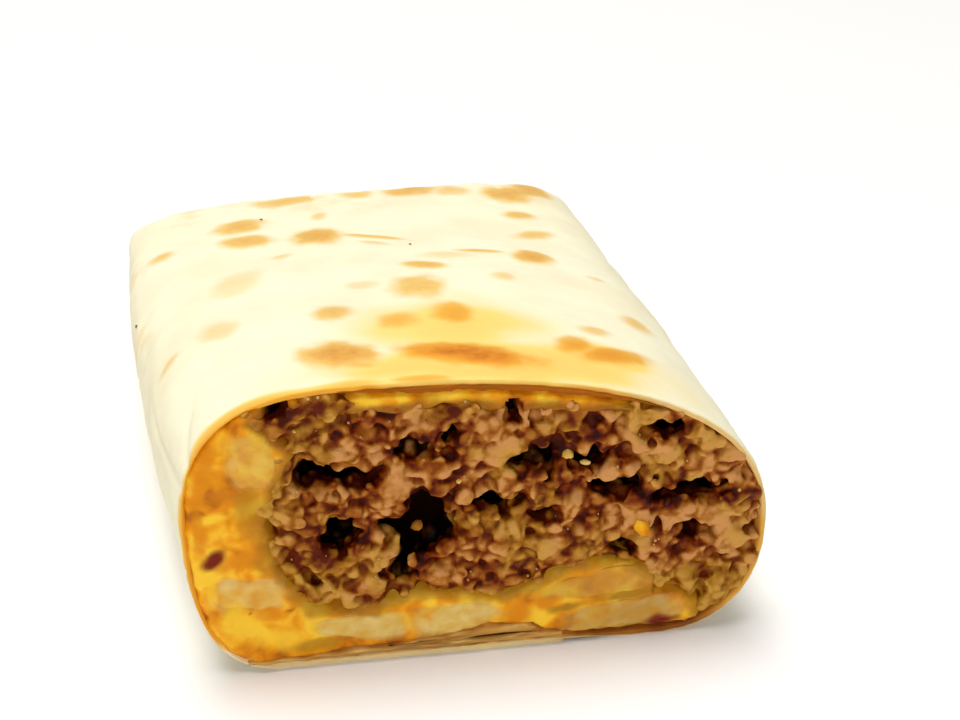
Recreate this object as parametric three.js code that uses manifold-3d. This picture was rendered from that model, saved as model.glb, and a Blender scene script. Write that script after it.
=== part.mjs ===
// Half of a french tacos: a flour tortilla folded into a flat packet round minced beef, fries and
// cheese sauce, grilled, and cut across its middle. Millimetres, +Z up. The packet lies on its flat
// base, the knife cut faces -Y and the folded end is at +Y.
import * as THREE from "three";
import { ParametricGeometry } from "three/addons/geometries/ParametricGeometry.js";
import { mergeVertices } from "three/addons/utils/BufferGeometryUtils.js";
import Module from "manifold-3d";

const wasm = await Module();
wasm.setup();

// Packet
const LENGTH = 110; // from the cut to the fold
const CRUMB_PROUD = 0.9; // how far crumbs of beef stand out of the cut
const CUT_Y = (CRUMB_PROUD - LENGTH) / 2;
const FOLD_Y = CUT_Y + LENGTH;
const LEFT_BULGE = 2.5; // how far the left flank swells halfway along
const END_ROUND = 8; // radius over which the top and sides turn into the folded end

// Outline across the packet, at the cut and at the fold: four superellipse quarters that meet at the
// crown, at the two flanks and on the flat base. The curve numbers are the quarters' exponents.
const CUT_SECTION = {
  left: -39, right: 51, crownX: -11, crownZ: 52.2, leftZ: 26, rightZ: 19,
  baseLeft: -25, baseRight: 34, baseZ: 0,
  topLeftCurve: 2.75, topRightCurve: 2.45, baseRightCurve: 2.3, baseLeftCurve: 2.5,
};
const FOLD_SECTION = {
  left: -51.4, right: 38.6, crownX: 10, crownZ: 31.2, leftZ: 20, rightZ: 20,
  baseLeft: -39, baseRight: 27, baseZ: 0,
  topLeftCurve: 3.5, topRightCurve: 3.5, baseRightCurve: 2.4, baseLeftCurve: 2.4,
};

// Tortilla
const WALL = 1.6; // one layer
const INNER_LAYER = 1.4; // the sheet's start, which lies on the flap
const FLAP_EDGE_X = 19; // where the flap under the packet ends, at the cut
const TORTILLA_RADIUS = 150; // the flap's free edge is the rim of the round sheet
const SEAM_WIDTH = 1.0;
const SEAM_DEPTH = 0.8;
const END_FLAP = { inset: 9, height: 21, thick: 1.3, crown: 5 };

// Filling
const GAP = 0.3; // kept between neighbouring pieces
const SAUCE_LEFT = 8.5; // sauce between the left wall and the beef
const SAUCE_TOP = 2.0;
const SAUCE_BASE = 6.0;
const SAUCE_COAT = 1.6; // sauce round each fry
const BEEF_CORNER = 2.5; // how much squarer the beef's top left corner is than the packet's

// Fries by their cross-section at the cut: centre, width, height at the thick end, slant and how much
// thinner the left end is, as a share (the right end where it is negative), with their length.
const FRIES = [
  { name: "fry_left_upper", x: -28.1, z: 40.2, width: 6.8, height: 9.4, slant: 0.15, thin: 0, length: 62 },
  { name: "fry_left_lower", x: -29.8, z: 16.0, width: 11.4, height: 6.4, slant: -0.12, thin: 0, length: 70 },
  { name: "fry_base_left", x: -13.8, z: 7.4, width: 15.0, height: 6.6, slant: -0.1, thin: 0.6, length: 58 },
  { name: "fry_base_middle", x: 1.6, z: 7.6, width: 14.0, height: 8.0, slant: 0.05, thin: -0.5, length: 74 },
  { name: "fry_right_upper", x: 24.6, z: 11.7, width: 18.6, height: 6, slant: 0.12, thin: 0.45, length: 55 },
  { name: "fry_right_lower", x: 29.0, z: 5.2, width: 19.0, height: 5.8, slant: 0.05, thin: 0.2, length: 66 },
];
const FRY_CURVE = 3.2; // exponent of a fry's rounded-square section

// Minced beef
const BEEF_RECESS = 2.8; // how far the core lies behind the cut
const CRUMB_SUNK = 1.6; // how far behind the cut the deepest crumbs begin
const CRUMB_PITCH = 5.2;
const CRUMB_SIZES = [2.3, 3.5]; // smallest and largest radius
const CRUMB_JITTER = 0.16; // unevenness of a crumb's surface, as a share of its radius
const SEED = 20;
// Hollows between the crumbs at the cut: centre, half width and half height.
const HOLLOWS = [
  { x: -14.5, z: 25.5, across: 3.8, up: 3.2 },
  { x: -6.5, z: 25.5, across: 2.8, up: 2.8 },
  { x: -15.0, z: 36.2, across: 4.4, up: 1.6 },
  { x: -3.0, z: 40.2, across: 2.2, up: 2.0 },
  { x: 8.6, z: 28.6, across: 4.2, up: 1.6 },
  { x: 14.0, z: 37.0, across: 3.2, up: 2.0 },
  { x: 26.6, z: 29.4, across: 3.0, up: 2.0 },
  { x: 39.0, z: 28.4, across: 6.4, up: 1.6 },
  { x: 38.6, z: 20.6, across: 1.8, up: 2.0 },
];
const HOLLOW_DEPTH = 7;

// Smoothness of the faceted solids
const AROUND = 44;
const ALONG = 9;
const END_RINGS = 3;
const FRY_AROUND = 14;

// A repeatable draw between 0 and 1.
function drawFrom(seed) {
  let state = seed;
  return () => {
    state = (state * 1664525 + 1013904223) % 4294967296;
    return state / 4294967296;
  };
}

// A closed surface as a solid: shared corners merged, collapsed triangles dropped.
function solidOf(geometry) {
  const bare = new THREE.BufferGeometry().setAttribute("position", geometry.getAttribute("position"));
  if (geometry.index) bare.setIndex(geometry.index);
  const merged = mergeVertices(bare, 1e-4);
  const corners = merged.index.array;
  const kept = [];
  for (let i = 0; i < corners.length; i += 3) {
    const [a, b, c] = [corners[i], corners[i + 1], corners[i + 2]];
    if (a !== b && b !== c && a !== c) kept.push(a, b, c);
  }
  return new wasm.Manifold(
    new wasm.Mesh({
      numProp: 3,
      vertProperties: merged.getAttribute("position").array,
      triVerts: new Uint32Array(kept),
    }),
  );
}

// The largest body of a solid, without loose scraps or sealed hollows.
function mainBody(solid) {
  return solid.decompose().reduce((best, body) => (body.volume() > best.volume() ? body : best));
}

// A solid between rows of points, front to back. Each row is a function of u that runs anticlockwise seen
// from the front, and the first and last rows are single points.
function loft(rows, around) {
  const last = rows.length - 1;
  const surface = (u, v, target) => target.copy(rows[Math.round(v * last)](1 - u));
  return solidOf(new ParametricGeometry(surface, around, last));
}

const power = (value, exponent) => Math.max(0, value) ** (2 / exponent);

// The point of a section's outline at u, from the right flank over the crown and round under the base.
function outlinePoint(s, u) {
  const stretch = Math.min(4, Math.floor(u * 5));
  const turn = ((u * 5 - stretch) * Math.PI) / 2;
  const [c, d] = [Math.cos(turn), Math.sin(turn)];
  switch (stretch) {
    case 0:
      return [
        s.crownX + (s.right - s.crownX) * power(c, s.topRightCurve),
        s.rightZ + (s.crownZ - s.rightZ) * power(d, s.topRightCurve),
      ];
    case 1:
      return [
        s.crownX - (s.crownX - s.left) * power(d, s.topLeftCurve),
        s.leftZ + (s.crownZ - s.leftZ) * power(c, s.topLeftCurve),
      ];
    case 2:
      return [
        s.baseLeft - (s.baseLeft - s.left) * power(c, s.baseLeftCurve),
        s.leftZ - (s.leftZ - s.baseZ) * power(d, s.baseLeftCurve),
      ];
    case 3:
      return [s.baseLeft + (s.baseRight - s.baseLeft) * (u * 5 - 3), s.baseZ];
    default:
      return [
        s.baseRight + (s.right - s.baseRight) * power(d, s.baseRightCurve),
        s.rightZ - (s.rightZ - s.baseZ) * power(c, s.baseRightCurve),
      ];
  }
}

// The packet's section a share of the way from the cut to the fold, drawn in by the given margins.
function sectionAt(share, margin) {
  const s = {};
  for (const key of Object.keys(CUT_SECTION)) {
    s[key] = THREE.MathUtils.lerp(CUT_SECTION[key], FOLD_SECTION[key], share);
  }
  s.left += margin.left - LEFT_BULGE * Math.sin(Math.PI * share);
  s.right -= margin.right;
  s.crownZ -= margin.top;
  s.baseZ += margin.base;
  s.topLeftCurve += margin.corner;
  return s;
}

const evenMargin = (size) => ({ left: size, right: size, top: size, base: size, corner: 0 });

// A packet-shaped solid inside the margins, from frontY to backY, with a rounded far end.
function packet(margin, frontY, backY, endRound) {
  const ring = (y, drawnIn) => {
    const s = sectionAt((y - CUT_Y) / LENGTH, margin);
    const [midX, midZ] = [(s.left + s.right) / 2, (s.crownZ + s.baseZ) / 2];
    const shrinkX = 1 - drawnIn / ((s.right - s.left) / 2);
    const shrinkZ = 1 - drawnIn / ((s.crownZ - s.baseZ) / 2);
    return (u) => {
      const [x, z] = outlinePoint(s, u);
      // The underside stays flat on the surface it lies on, so only what is above it is drawn in.
      const flatZ = midZ + (z - midZ) * (z > midZ ? shrinkZ : 1 - (1 - shrinkZ) * 0.35);
      return new THREE.Vector3(midX + (x - midX) * shrinkX, y, flatZ);
    };
  };
  const middle = (y) => {
    const s = sectionAt((y - CUT_Y) / LENGTH, margin);
    const point = new THREE.Vector3((s.left + s.right) / 2, y, (s.crownZ + s.baseZ) / 2);
    return () => point;
  };
  const rows = [middle(frontY)];
  for (let i = 0; i <= ALONG; i += 1) {
    rows.push(ring(THREE.MathUtils.lerp(frontY, backY - endRound, i / ALONG), 0));
  }
  for (let i = 1; i <= END_RINGS; i += 1) {
    const turn = ((i / END_RINGS) * Math.PI) / 2;
    rows.push(ring(backY - endRound + endRound * Math.sin(turn), endRound * (1 - Math.cos(turn))));
  }
  rows.push(middle(backY));
  return loft(rows, AROUND);
}

// The flap's free edge under the packet, seen from above: an arc of the round sheet's rim.
function flapEdge(y, offset) {
  const away = Math.min(y - CUT_Y, TORTILLA_RADIUS);
  return FLAP_EDGE_X + offset - TORTILLA_RADIUS + Math.sqrt(TORTILLA_RADIUS ** 2 - away ** 2);
}

// A plate between two edges that run along Y, from the cut to beyond the fold.
function plateBetween(leftEdge, rightEdge, startY, endY, lowZ, highZ) {
  const steps = 8;
  const shape = new THREE.Shape();
  const stations = Array.from({ length: steps + 1 }, (_, i) => THREE.MathUtils.lerp(startY, endY, i / steps));
  stations.forEach((y, i) => (i ? shape.lineTo(rightEdge(y), y) : shape.moveTo(rightEdge(y), y)));
  [...stations].reverse().forEach((y) => shape.lineTo(leftEdge(y), y));
  const plate = new THREE.ExtrudeGeometry(shape, { depth: highZ - lowZ, bevelEnabled: false });
  return solidOf(plate.translate(0, 0, lowZ));
}

// The sheet's start on top of the flap, which lifts the filling left of the flap's edge.
function innerLayer(clearance) {
  const farLeft = () => -2 * LENGTH;
  const edge = (y) => flapEdge(y, clearance);
  return plateBetween(farLeft, edge, CUT_Y - 10, FOLD_Y + 10, -1, WALL + INNER_LAYER + clearance);
}

// The flap that closes the folded end, standing on its lower edge with an arched free edge.
function endFlap() {
  const s = sectionAt(1, evenMargin(END_FLAP.inset));
  const top = END_FLAP.height;
  const shape = new THREE.Shape();
  shape.moveTo(s.left, top - END_FLAP.crown);
  shape.quadraticCurveTo(s.left - 1, 4, s.left + 8, 4);
  shape.lineTo(s.right - 8, 4);
  shape.quadraticCurveTo(s.right + 1, 4, s.right, top - END_FLAP.crown);
  shape.quadraticCurveTo((s.left + s.right) / 2, top + END_FLAP.crown, s.left, top - END_FLAP.crown);
  const flap = new THREE.ExtrudeGeometry(shape, {
    depth: END_FLAP.thick * 2,
    bevelEnabled: false,
    curveSegments: 8,
  });
  // The outline is drawn in X and Y, stood up into X and Z, and set half into the end wall.
  return solidOf(flap.rotateX(Math.PI / 2).translate(0, FOLD_Y, 0));
}

function tortilla() {
  const outside = packet(evenMargin(0), CUT_Y, FOLD_Y - END_FLAP.thick, END_ROUND);
  const hollow = packet(evenMargin(WALL), CUT_Y - 4, FOLD_Y - END_FLAP.thick - WALL, END_ROUND - WALL);
  const seam = plateBetween(
    (y) => flapEdge(y, 0),
    (y) => flapEdge(y, SEAM_WIDTH),
    CUT_Y - 2,
    FOLD_Y - 2 * END_ROUND,
    -1,
    SEAM_DEPTH,
  );
  return mainBody(outside.add(endFlap()).subtract(hollow.subtract(innerLayer(0))).subtract(seam));
}

// Where a point of the cut lies further along: the packet leans to the left and grows thinner.
function follow(x, z, along) {
  const share = along / LENGTH;
  const lean = (FOLD_SECTION.left + FOLD_SECTION.right - CUT_SECTION.left - CUT_SECTION.right) / 2;
  const thinner = THREE.MathUtils.lerp(1, FOLD_SECTION.crownZ / CUT_SECTION.crownZ, share);
  return [x + lean * share, z * (z > 14 ? thinner : 1)];
}

// One fry, grown on every side by swell, from just before the cut to its rounded far end.
function fry(f, swell, startY) {
  const endY = CUT_Y + f.length + swell;
  const ring = (y, shrink) => {
    const [x, z] = follow(f.x, f.z, y - CUT_Y);
    const [c, d] = [Math.cos(f.slant), Math.sin(f.slant)];
    return (u) => {
      const turn = u * 2 * Math.PI;
      const side = (v) => Math.sign(v) * power(Math.abs(v), FRY_CURVE);
      const along = side(Math.cos(turn)) * shrink;
      const thinner = (Math.abs(f.thin) - f.thin * along) / 2;
      const across = along * (f.width / 2 + swell);
      const up = side(Math.sin(turn)) * ((f.height / 2) * (1 - thinner) + swell) * shrink;
      return new THREE.Vector3(x + across * c - up * d, y, z + across * d + up * c);
    };
  };
  const middleY = (startY + endY) / 2;
  const rows = [ring(startY, 0), ring(startY, 1), ring(middleY, 1), ring(endY - 2, 1)];
  rows.push(ring(endY, 0.8), ring(endY, 0));
  return loft(rows, FRY_AROUND);
}

const fillingMargin = evenMargin(WALL + GAP);

// All that lies inside the tortilla, from the cut to the folded end.
function filling(startY) {
  const endY = FOLD_Y - END_FLAP.thick - WALL - GAP;
  return packet(fillingMargin, startY, endY, END_ROUND - WALL).subtract(innerLayer(GAP));
}

// The space that beef fills: the filling without the sauce at its left, top and base and round the fries.
function beefSpace(startY, clearance) {
  const inside = packet(
    {
      left: fillingMargin.left + SAUCE_LEFT - clearance,
      right: fillingMargin.right - clearance,
      top: fillingMargin.top + SAUCE_TOP - clearance,
      base: fillingMargin.base + SAUCE_BASE - clearance,
      corner: BEEF_CORNER,
    },
    startY,
    FOLD_Y - END_FLAP.thick - WALL - GAP - SAUCE_TOP + clearance,
    END_ROUND - WALL,
  );
  return FRIES.reduce((space, f) => space.subtract(fry(f, SAUCE_COAT - clearance, startY - 1)), inside);
}

function cheeseSauce() {
  const poured = filling(CUT_Y).subtract(beefSpace(CUT_Y - 2, GAP));
  return mainBody(FRIES.reduce((sauce, f) => sauce.subtract(fry(f, GAP, CUT_Y - 2)), poured));
}

// One crumb of beef: an uneven lump of the given radius.
function crumb(centre, radius, draw) {
  const ball = new THREE.IcosahedronGeometry(1, radius > 3.2 ? 1 : 0);
  ball.deleteAttribute("normal");
  ball.deleteAttribute("uv");
  const lump = mergeVertices(ball, 1e-4);
  const corners = lump.getAttribute("position");
  const stretch = new THREE.Vector3(0.85 + 0.4 * draw(), 0.9, 0.8 + 0.3 * draw());
  const corner = new THREE.Vector3();
  for (let i = 0; i < corners.count; i += 1) {
    const uneven = radius * (1 + CRUMB_JITTER * (2 * draw() - 1));
    corner.fromBufferAttribute(corners, i).multiply(stretch).multiplyScalar(uneven).add(centre);
    corners.setXYZ(i, corner.x, corner.y, corner.z);
  }
  return solidOf(lump);
}

const inHollow = (x, z, grown) =>
  HOLLOWS.some((h) => ((x - h.x) / (h.across + grown)) ** 2 + ((z - h.z) / (h.up + grown)) ** 2 < 1);

// Crumbs over the cut on a jittered honeycomb, clear of the hollows.
function crumbs() {
  const draw = drawFrom(SEED);
  const [small, large] = CRUMB_SIZES;
  const found = [];
  let shifted = false;
  for (let z = CUT_SECTION.baseZ; z < CUT_SECTION.crownZ; z += CRUMB_PITCH * 0.86) {
    shifted = !shifted;
    for (let x = CUT_SECTION.left; x < CUT_SECTION.right; x += CRUMB_PITCH) {
      const jitter = () => (draw() - 0.5) * CRUMB_PITCH * 0.7;
      const [atX, atZ] = [x + (shifted ? CRUMB_PITCH / 2 : 0) + jitter(), z + jitter()];
      const radius = small + (large - small) * draw() ** 1.5;
      const atY = CUT_Y + radius - THREE.MathUtils.lerp(-CRUMB_SUNK, CRUMB_PROUD, draw() ** 0.6);
      const lump = crumb(new THREE.Vector3(atX, atY, atZ), radius, draw);
      if (!inHollow(atX, atZ, radius * 0.45)) found.push(lump);
    }
  }
  return wasm.Manifold.union(found);
}

// The hollows as round-ended pits that reach into the core.
function pits() {
  const found = HOLLOWS.map((h) => {
    const pit = new THREE.IcosahedronGeometry(1, 1);
    return solidOf(pit.scale(h.across, HOLLOW_DEPTH, h.up).translate(h.x, CUT_Y, h.z));
  });
  return wasm.Manifold.union(found);
}

function mincedBeef() {
  const core = beefSpace(CUT_Y + BEEF_RECESS, 0).subtract(pits());
  const face = crumbs().intersect(beefSpace(CUT_Y - CRUMB_PROUD, 0));
  return mainBody(core.add(face));
}

const FINISHES = {
  tortilla: { color: 0xf4e7c4, roughness: 0.75 },
  cheese_sauce: { color: 0xe5a32b, roughness: 0.35 },
  minced_beef: { color: 0x7a4a27, roughness: 0.55 },
  fry: { color: 0xd9b35f, roughness: 0.5 },
};

function meshOf(name, solid, finish) {
  const made = solid.getMesh();
  const geometry = new THREE.BufferGeometry();
  geometry.setAttribute("position", new THREE.BufferAttribute(new Float32Array(made.vertProperties), 3));
  geometry.setIndex(new THREE.BufferAttribute(new Uint32Array(made.triVerts), 1));
  geometry.computeVertexNormals();
  const mesh = new THREE.Mesh(geometry, new THREE.MeshStandardMaterial({ ...finish, metalness: 0 }));
  mesh.name = name;
  return mesh;
}

const frenchTacos = new THREE.Group();
frenchTacos.add(
  meshOf("tortilla", tortilla(), FINISHES.tortilla),
  meshOf("cheese_sauce", cheeseSauce(), FINISHES.cheese_sauce),
  meshOf("minced_beef", mincedBeef(), FINISHES.minced_beef),
);
for (const f of FRIES) {
  frenchTacos.add(meshOf(f.name, fry(f, 0, CUT_Y), FINISHES.fry));
}

export default frenchTacos;
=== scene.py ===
"""Looks of half a french tacos: a grilled flour tortilla round minced beef, fries and cheese sauce.

The packet lies on its flat base with the knife cut towards -Y. Sizes are in millimetres and become
metres where a mesh is made.
"""

import logging
import math
from dataclasses import dataclass, replace
from enum import Enum
from typing import Any, ClassVar, Sequence

import bmesh
import bpy
import numpy as np
from mathutils import Matrix, Vector, kdtree, noise


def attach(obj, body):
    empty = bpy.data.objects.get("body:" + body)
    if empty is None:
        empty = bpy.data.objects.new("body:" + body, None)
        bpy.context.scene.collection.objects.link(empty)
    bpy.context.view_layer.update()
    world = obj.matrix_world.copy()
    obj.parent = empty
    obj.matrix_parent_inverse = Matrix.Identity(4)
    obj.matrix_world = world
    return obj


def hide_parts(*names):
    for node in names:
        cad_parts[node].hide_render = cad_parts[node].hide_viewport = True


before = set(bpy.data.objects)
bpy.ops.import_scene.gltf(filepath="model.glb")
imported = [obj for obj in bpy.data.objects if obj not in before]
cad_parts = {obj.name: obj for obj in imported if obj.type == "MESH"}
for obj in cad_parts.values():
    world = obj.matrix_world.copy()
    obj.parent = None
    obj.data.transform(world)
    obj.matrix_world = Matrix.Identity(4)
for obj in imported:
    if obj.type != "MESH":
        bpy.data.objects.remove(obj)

LOG = logging.getLogger("french_tacos")
MM = 0.001
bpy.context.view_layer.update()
# How far a pattern moves along each axis from one seed to the next.
GRAIN_STEPS = (17.31, 7.77, 29.13)
GRANULE_STEPS = (3.7, 11.9, 5.3)
# Seed of the granules' warp, which Blender takes from the clock where none is set.
WARP_SEED = 1795795027
# Size of the sauce's curds and of the potato's mealy patches, in millimetres.
CURD_MM = 4.8
MEAL_MM = 3.4


def linear(code: str) -> tuple[float, float, float, float]:
    """Turns an sRGB hex colour into a linear one.

    Args:
        code: Six hex digits.
    Returns:
        Red, green, blue and alpha, linear.
    """
    channels = [int(code[i : i + 2], 16) / 255 for i in (0, 2, 4)]
    r, g, b = (c / 12.92 if c <= 0.04045 else ((c + 0.055) / 1.055) ** 2.4 for c in channels)
    return (r, g, b, 1.0)


def add_node(
    tree: bpy.types.NodeTree,
    kind: str,
    settings: dict[Any, Any] | None = None,
    links: dict[Any, bpy.types.NodeSocket] | None = None,
) -> bpy.types.Node:
    """Adds a node with its settings and links.

    Args:
        tree: Node tree of the material.
        kind: Node type.
        settings: Properties by name, input values by name or number, and a colour ramp's tints by place
            as "ramp".
        links: Sockets to join to inputs, by input name or number.
    Returns:
        The node.
    """
    node = tree.nodes.new(kind)
    for key, value in (settings or {}).items():
        if key == "ramp":
            stops = node.color_ramp.elements
            while len(stops) < len(value):
                stops.new(1.0)
            for stop, (place, tint) in zip(stops, value.items()):
                stop.position = place
                stop.color = tint.light
        elif isinstance(key, str) and hasattr(node, key):
            setattr(node, key, value)
        else:
            node.inputs[key].default_value = value
    for key, socket in (links or {}).items():
        tree.links.new(socket, node.inputs[key])
    return node


def per_metre(size_mm: float) -> float:
    """Texture scale whose features are this many millimetres across, for a pattern in metres."""
    return 1.0 / (size_mm * MM)


def smooth_step(low: float, high: float, value: np.ndarray | float) -> np.ndarray:
    """Rises smoothly from 0 at low to 1 at high."""
    share = np.clip((np.asarray(value, float) - low) / (high - low), 0.0, 1.0)
    return share * share * (3.0 - 2.0 * share)


def grain(points: np.ndarray, size: float, seed: int) -> np.ndarray:
    """Smooth repeatable unevenness at points.

    Args:
        points: Places in millimetres, one per row.
        size: Size of the bumps in millimetres.
        seed: Number that shifts the pattern.
    Returns:
        One value of about -1 to 1 per point.
    """
    shift = Vector([seed * step for step in GRAIN_STEPS])
    return np.array([noise.noise(Vector(p) / size + shift) for p in points.tolist()])


def granules(points: np.ndarray, size: float, seed: int) -> tuple[np.ndarray, np.ndarray]:
    """Rounded granules packed together.

    Args:
        points: Places in millimetres, one per row.
        size: Size of the granules in millimetres.
        seed: Number that shifts the pattern.
    Returns:
        Their height at each point, 1 at their tops and 0 between them, and each granule's own number, 0 to 1.
    """
    warp, warp_scale, rounding, mixing, least_gap = 0.3, 1.4, 0.6, 53.7, 1e-6
    noise.seed_set(WARP_SEED)
    shift = Vector([seed * step for step in GRANULE_STEPS])
    places = [Vector(p) / size + shift for p in points.tolist()]
    found = [noise.voronoi(p + warp * noise.noise_vector(p * warp_scale)) for p in places]
    nearness = 1.0 - np.clip(np.array([gaps[0] / max(gaps[1], least_gap) for gaps, _ in found]), 0.0, 1.0)
    own = np.array([noise.cell(middles[0] * mixing) for _, middles in found])
    return nearness**rounding, own % 1.0


@dataclass(frozen=True)
class Margin:
    """How far a section is drawn in from the packet's outside, in millimetres."""

    left: float = 0.0
    right: float = 0.0
    top: float = 0.0
    base: float = 0.0

    @classmethod
    def even(cls, size: float) -> "Margin":
        """The same margin on every side."""
        return cls(size, size, size, size)

    def grown(self, other: "Margin", share: float) -> "Margin":
        """A margin some share of the way to another one."""
        names = self.__dataclass_fields__
        return Margin(*[getattr(self, n) * (1 - share) + getattr(other, n) * share for n in names])


@dataclass(frozen=True)
class Section:
    """Outline across the packet: four superellipse quarters on a flat base, in millimetres."""

    left: float
    right: float
    crown_x: float
    crown_z: float
    left_z: float
    right_z: float
    base_left: float
    base_right: float
    base_z: float
    top_left: float
    top_right: float
    low_right: float
    low_left: float

    def toward(self, other: "Section", share: float) -> "Section":
        """Blends two sections.

        Args:
            other: The section at share 1.
            share: How far towards it.
        Returns:
            The section between.
        """
        names = self.__dataclass_fields__
        return Section(*[getattr(self, n) * (1 - share) + getattr(other, n) * share for n in names])

    def outline(self, count: int) -> np.ndarray:
        """Evenly spaced points from the right flank over the crown and round under the base.

        Args:
            count: Number of points.
        Returns:
            One x and z per row.
        """
        turn = np.linspace(0, math.pi / 2, 60)
        c, s = np.clip(np.cos(turn), 0, 1), np.clip(np.sin(turn), 0, 1)

        def quarter(x: float, z: float, wide: float, high: float, curve: float) -> np.ndarray:
            """One superellipse quarter from its side to its top or bottom."""
            return np.stack([x + wide * c ** (2 / curve), z + high * s ** (2 / curve)], 1)

        left, right = self.left_z, self.right_z
        low_left = (self.left - self.base_left, self.base_z - left)
        low_right = (self.right - self.base_right, self.base_z - right)
        points = np.vstack([
            quarter(self.crown_x, right, self.right - self.crown_x, self.crown_z - right, self.top_right),
            quarter(self.crown_x, left, self.left - self.crown_x, self.crown_z - left, self.top_left)[::-1],
            quarter(self.base_left, left, *low_left, self.low_left),
            quarter(self.base_right, right, *low_right, self.low_right)[::-1],
        ])
        steps = np.hypot(*np.diff(points, axis=0).T)
        length = np.concatenate([[0.0], np.cumsum(steps)])
        places = np.linspace(0, length[-1], count, endpoint=False)
        return np.stack([np.interp(places, length, points[:, k]) for k in (0, 1)], 1)


@dataclass(frozen=True)
class Packet:
    """The packet's form: its sections at the cut and at the fold, and how they run together."""

    cut: Section = Section(
        left=-39,
        right=51,
        crown_x=-11,
        crown_z=52.2,
        left_z=26,
        right_z=19,
        base_left=-25,
        base_right=34,
        base_z=0,
        top_left=2.75,
        top_right=2.45,
        low_right=2.3,
        low_left=2.5,
    )
    fold: Section = Section(
        left=-51.4,
        right=38.6,
        crown_x=10,
        crown_z=31.2,
        left_z=20,
        right_z=20,
        base_left=-39,
        base_right=27,
        base_z=0,
        top_left=3.5,
        top_right=3.5,
        low_right=2.4,
        low_left=2.4,
    )
    length: float = 110.0
    cut_y: float = -54.55
    left_bulge: float = 2.5
    end_round: float = 8.0
    wall: float = 1.6
    lip: Margin = Margin(left=0.7, right=0.7, top=1.0, base=1.1)
    flap_edge_x: float = 19.0
    sheet_radius: float = 150.0
    end_flap: float = 1.3
    base_round: float = 0.35
    level_z: float = 14.0

    @property
    def fold_y(self) -> float:
        """Where the folded end's outside lies."""
        return self.cut_y + self.length

    def section(self, y: float, margin: Margin) -> Section:
        """The section at y.

        Args:
            y: Place along the packet.
            margin: How far to draw it in.
        Returns:
            The section inside the margin.
        """
        share = (y - self.cut_y) / self.length
        s = self.cut.toward(self.fold, share)
        bulge = self.left_bulge * math.sin(math.pi * share)
        return replace(
            s,
            left=s.left - bulge + margin.left,
            right=s.right - margin.right,
            crown_z=s.crown_z - margin.top,
            base_z=s.base_z + margin.base,
        )

    def ring(self, y: float, margin: Margin, count: int, drawn_in: float = 0.0) -> np.ndarray:
        """A closed ring of points round the packet.

        Args:
            y: Place along the packet.
            margin: How far inside the outside it lies.
            count: Number of points.
            drawn_in: How far the ring shrinks towards its middle, as on the rounded end.
        Returns:
            One x, y and z per row.
        """
        s = self.section(y, margin)
        flat = s.outline(count)
        mid_x, mid_z = (s.left + s.right) / 2, (s.crown_z + s.base_z) / 2
        shrink_x = max(0.0, 1 - drawn_in / ((s.right - s.left) / 2))
        shrink_z = max(0.0, 1 - drawn_in / ((s.crown_z - s.base_z) / 2))
        low = 1 - (1 - shrink_z) * self.base_round
        x = mid_x + (flat[:, 0] - mid_x) * shrink_x
        z = mid_z + (flat[:, 1] - mid_z) * np.where(flat[:, 1] > mid_z, shrink_z, low)
        return np.stack([x, np.full(count, y), z], 1)

    def flap_edge(self, y: float) -> float:
        """X of the free edge of the flap under the packet, an arc of the round sheet's rim."""
        away = min(max(y - self.cut_y, 0.0), self.sheet_radius)
        return self.flap_edge_x - self.sheet_radius + math.sqrt(self.sheet_radius**2 - away**2)

    def lean(self, x: float, z: float, y: float) -> tuple[float, float]:
        """Where a point of the cut lies further along, as the packet leans left and grows thinner.

        Args:
            x: Its x at the cut.
            z: Its height at the cut. Up to level_z it lies on the base and keeps it.
            y: Place along the packet.
        Returns:
            Its x and its height there.
        """
        share = (y - self.cut_y) / self.length
        shift = (self.fold.left + self.fold.right - self.cut.left - self.cut.right) / 2
        thinner = 1 + (self.fold.crown_z / self.cut.crown_z - 1) * share
        return x + shift * share, z * (thinner if z > self.level_z else 1.0)


PACKET = Packet()


def skin_rings(rings: Sequence[np.ndarray]) -> bmesh.types.BMesh:
    """Draws a closed skin through rings by extruding a circle from each to the next.

    Args:
        rings: Rings of points in millimetres, all of one length, from one end to the other.
    Returns:
        The skin in metres.
    """
    bm = bmesh.new()
    count = len(rings[0])
    row = list(bmesh.ops.create_circle(bm, cap_ends=False, segments=count, radius=1.0)["verts"])
    for corner, place in zip(row, rings[0]):
        corner.co = Vector(place) * MM
    first = [bm.edges.get((row[i], row[i - 1])) for i in range(count)]
    edges = first
    for ring in rings[1:]:
        grown = bmesh.ops.extrude_edge_only(bm, edges=edges)["geom"]
        fresh = {v for v in grown if isinstance(v, bmesh.types.BMVert)}
        after = []
        for corner, place in zip(row, ring):
            moved = next(e.other_vert(corner) for e in corner.link_edges if e.other_vert(corner) in fresh)
            moved.co = Vector(place) * MM
            after.append(moved)
        row = after
        edges = [bm.edges.get((row[i], row[i - 1])) for i in range(count)]
    bmesh.ops.holes_fill(bm, edges=first, sides=0)
    bmesh.ops.holes_fill(bm, edges=edges, sides=0)
    bmesh.ops.recalc_face_normals(bm, faces=bm.faces)
    return bm


def smooth_object(name: str, bm: bmesh.types.BMesh) -> bpy.types.Object:
    """Makes a smooth-shaded object at the origin from a bmesh and frees the bmesh.

    Args:
        name: Name of the piece.
        bm: Mesh in metres.
    Returns:
        The new object.
    """
    mesh = bpy.data.meshes.new(name)
    bm.to_mesh(mesh)
    bm.free()
    mesh.shade_smooth()
    piece = bpy.data.objects.new(name, mesh)
    bpy.context.collection.objects.link(piece)
    return piece


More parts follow.
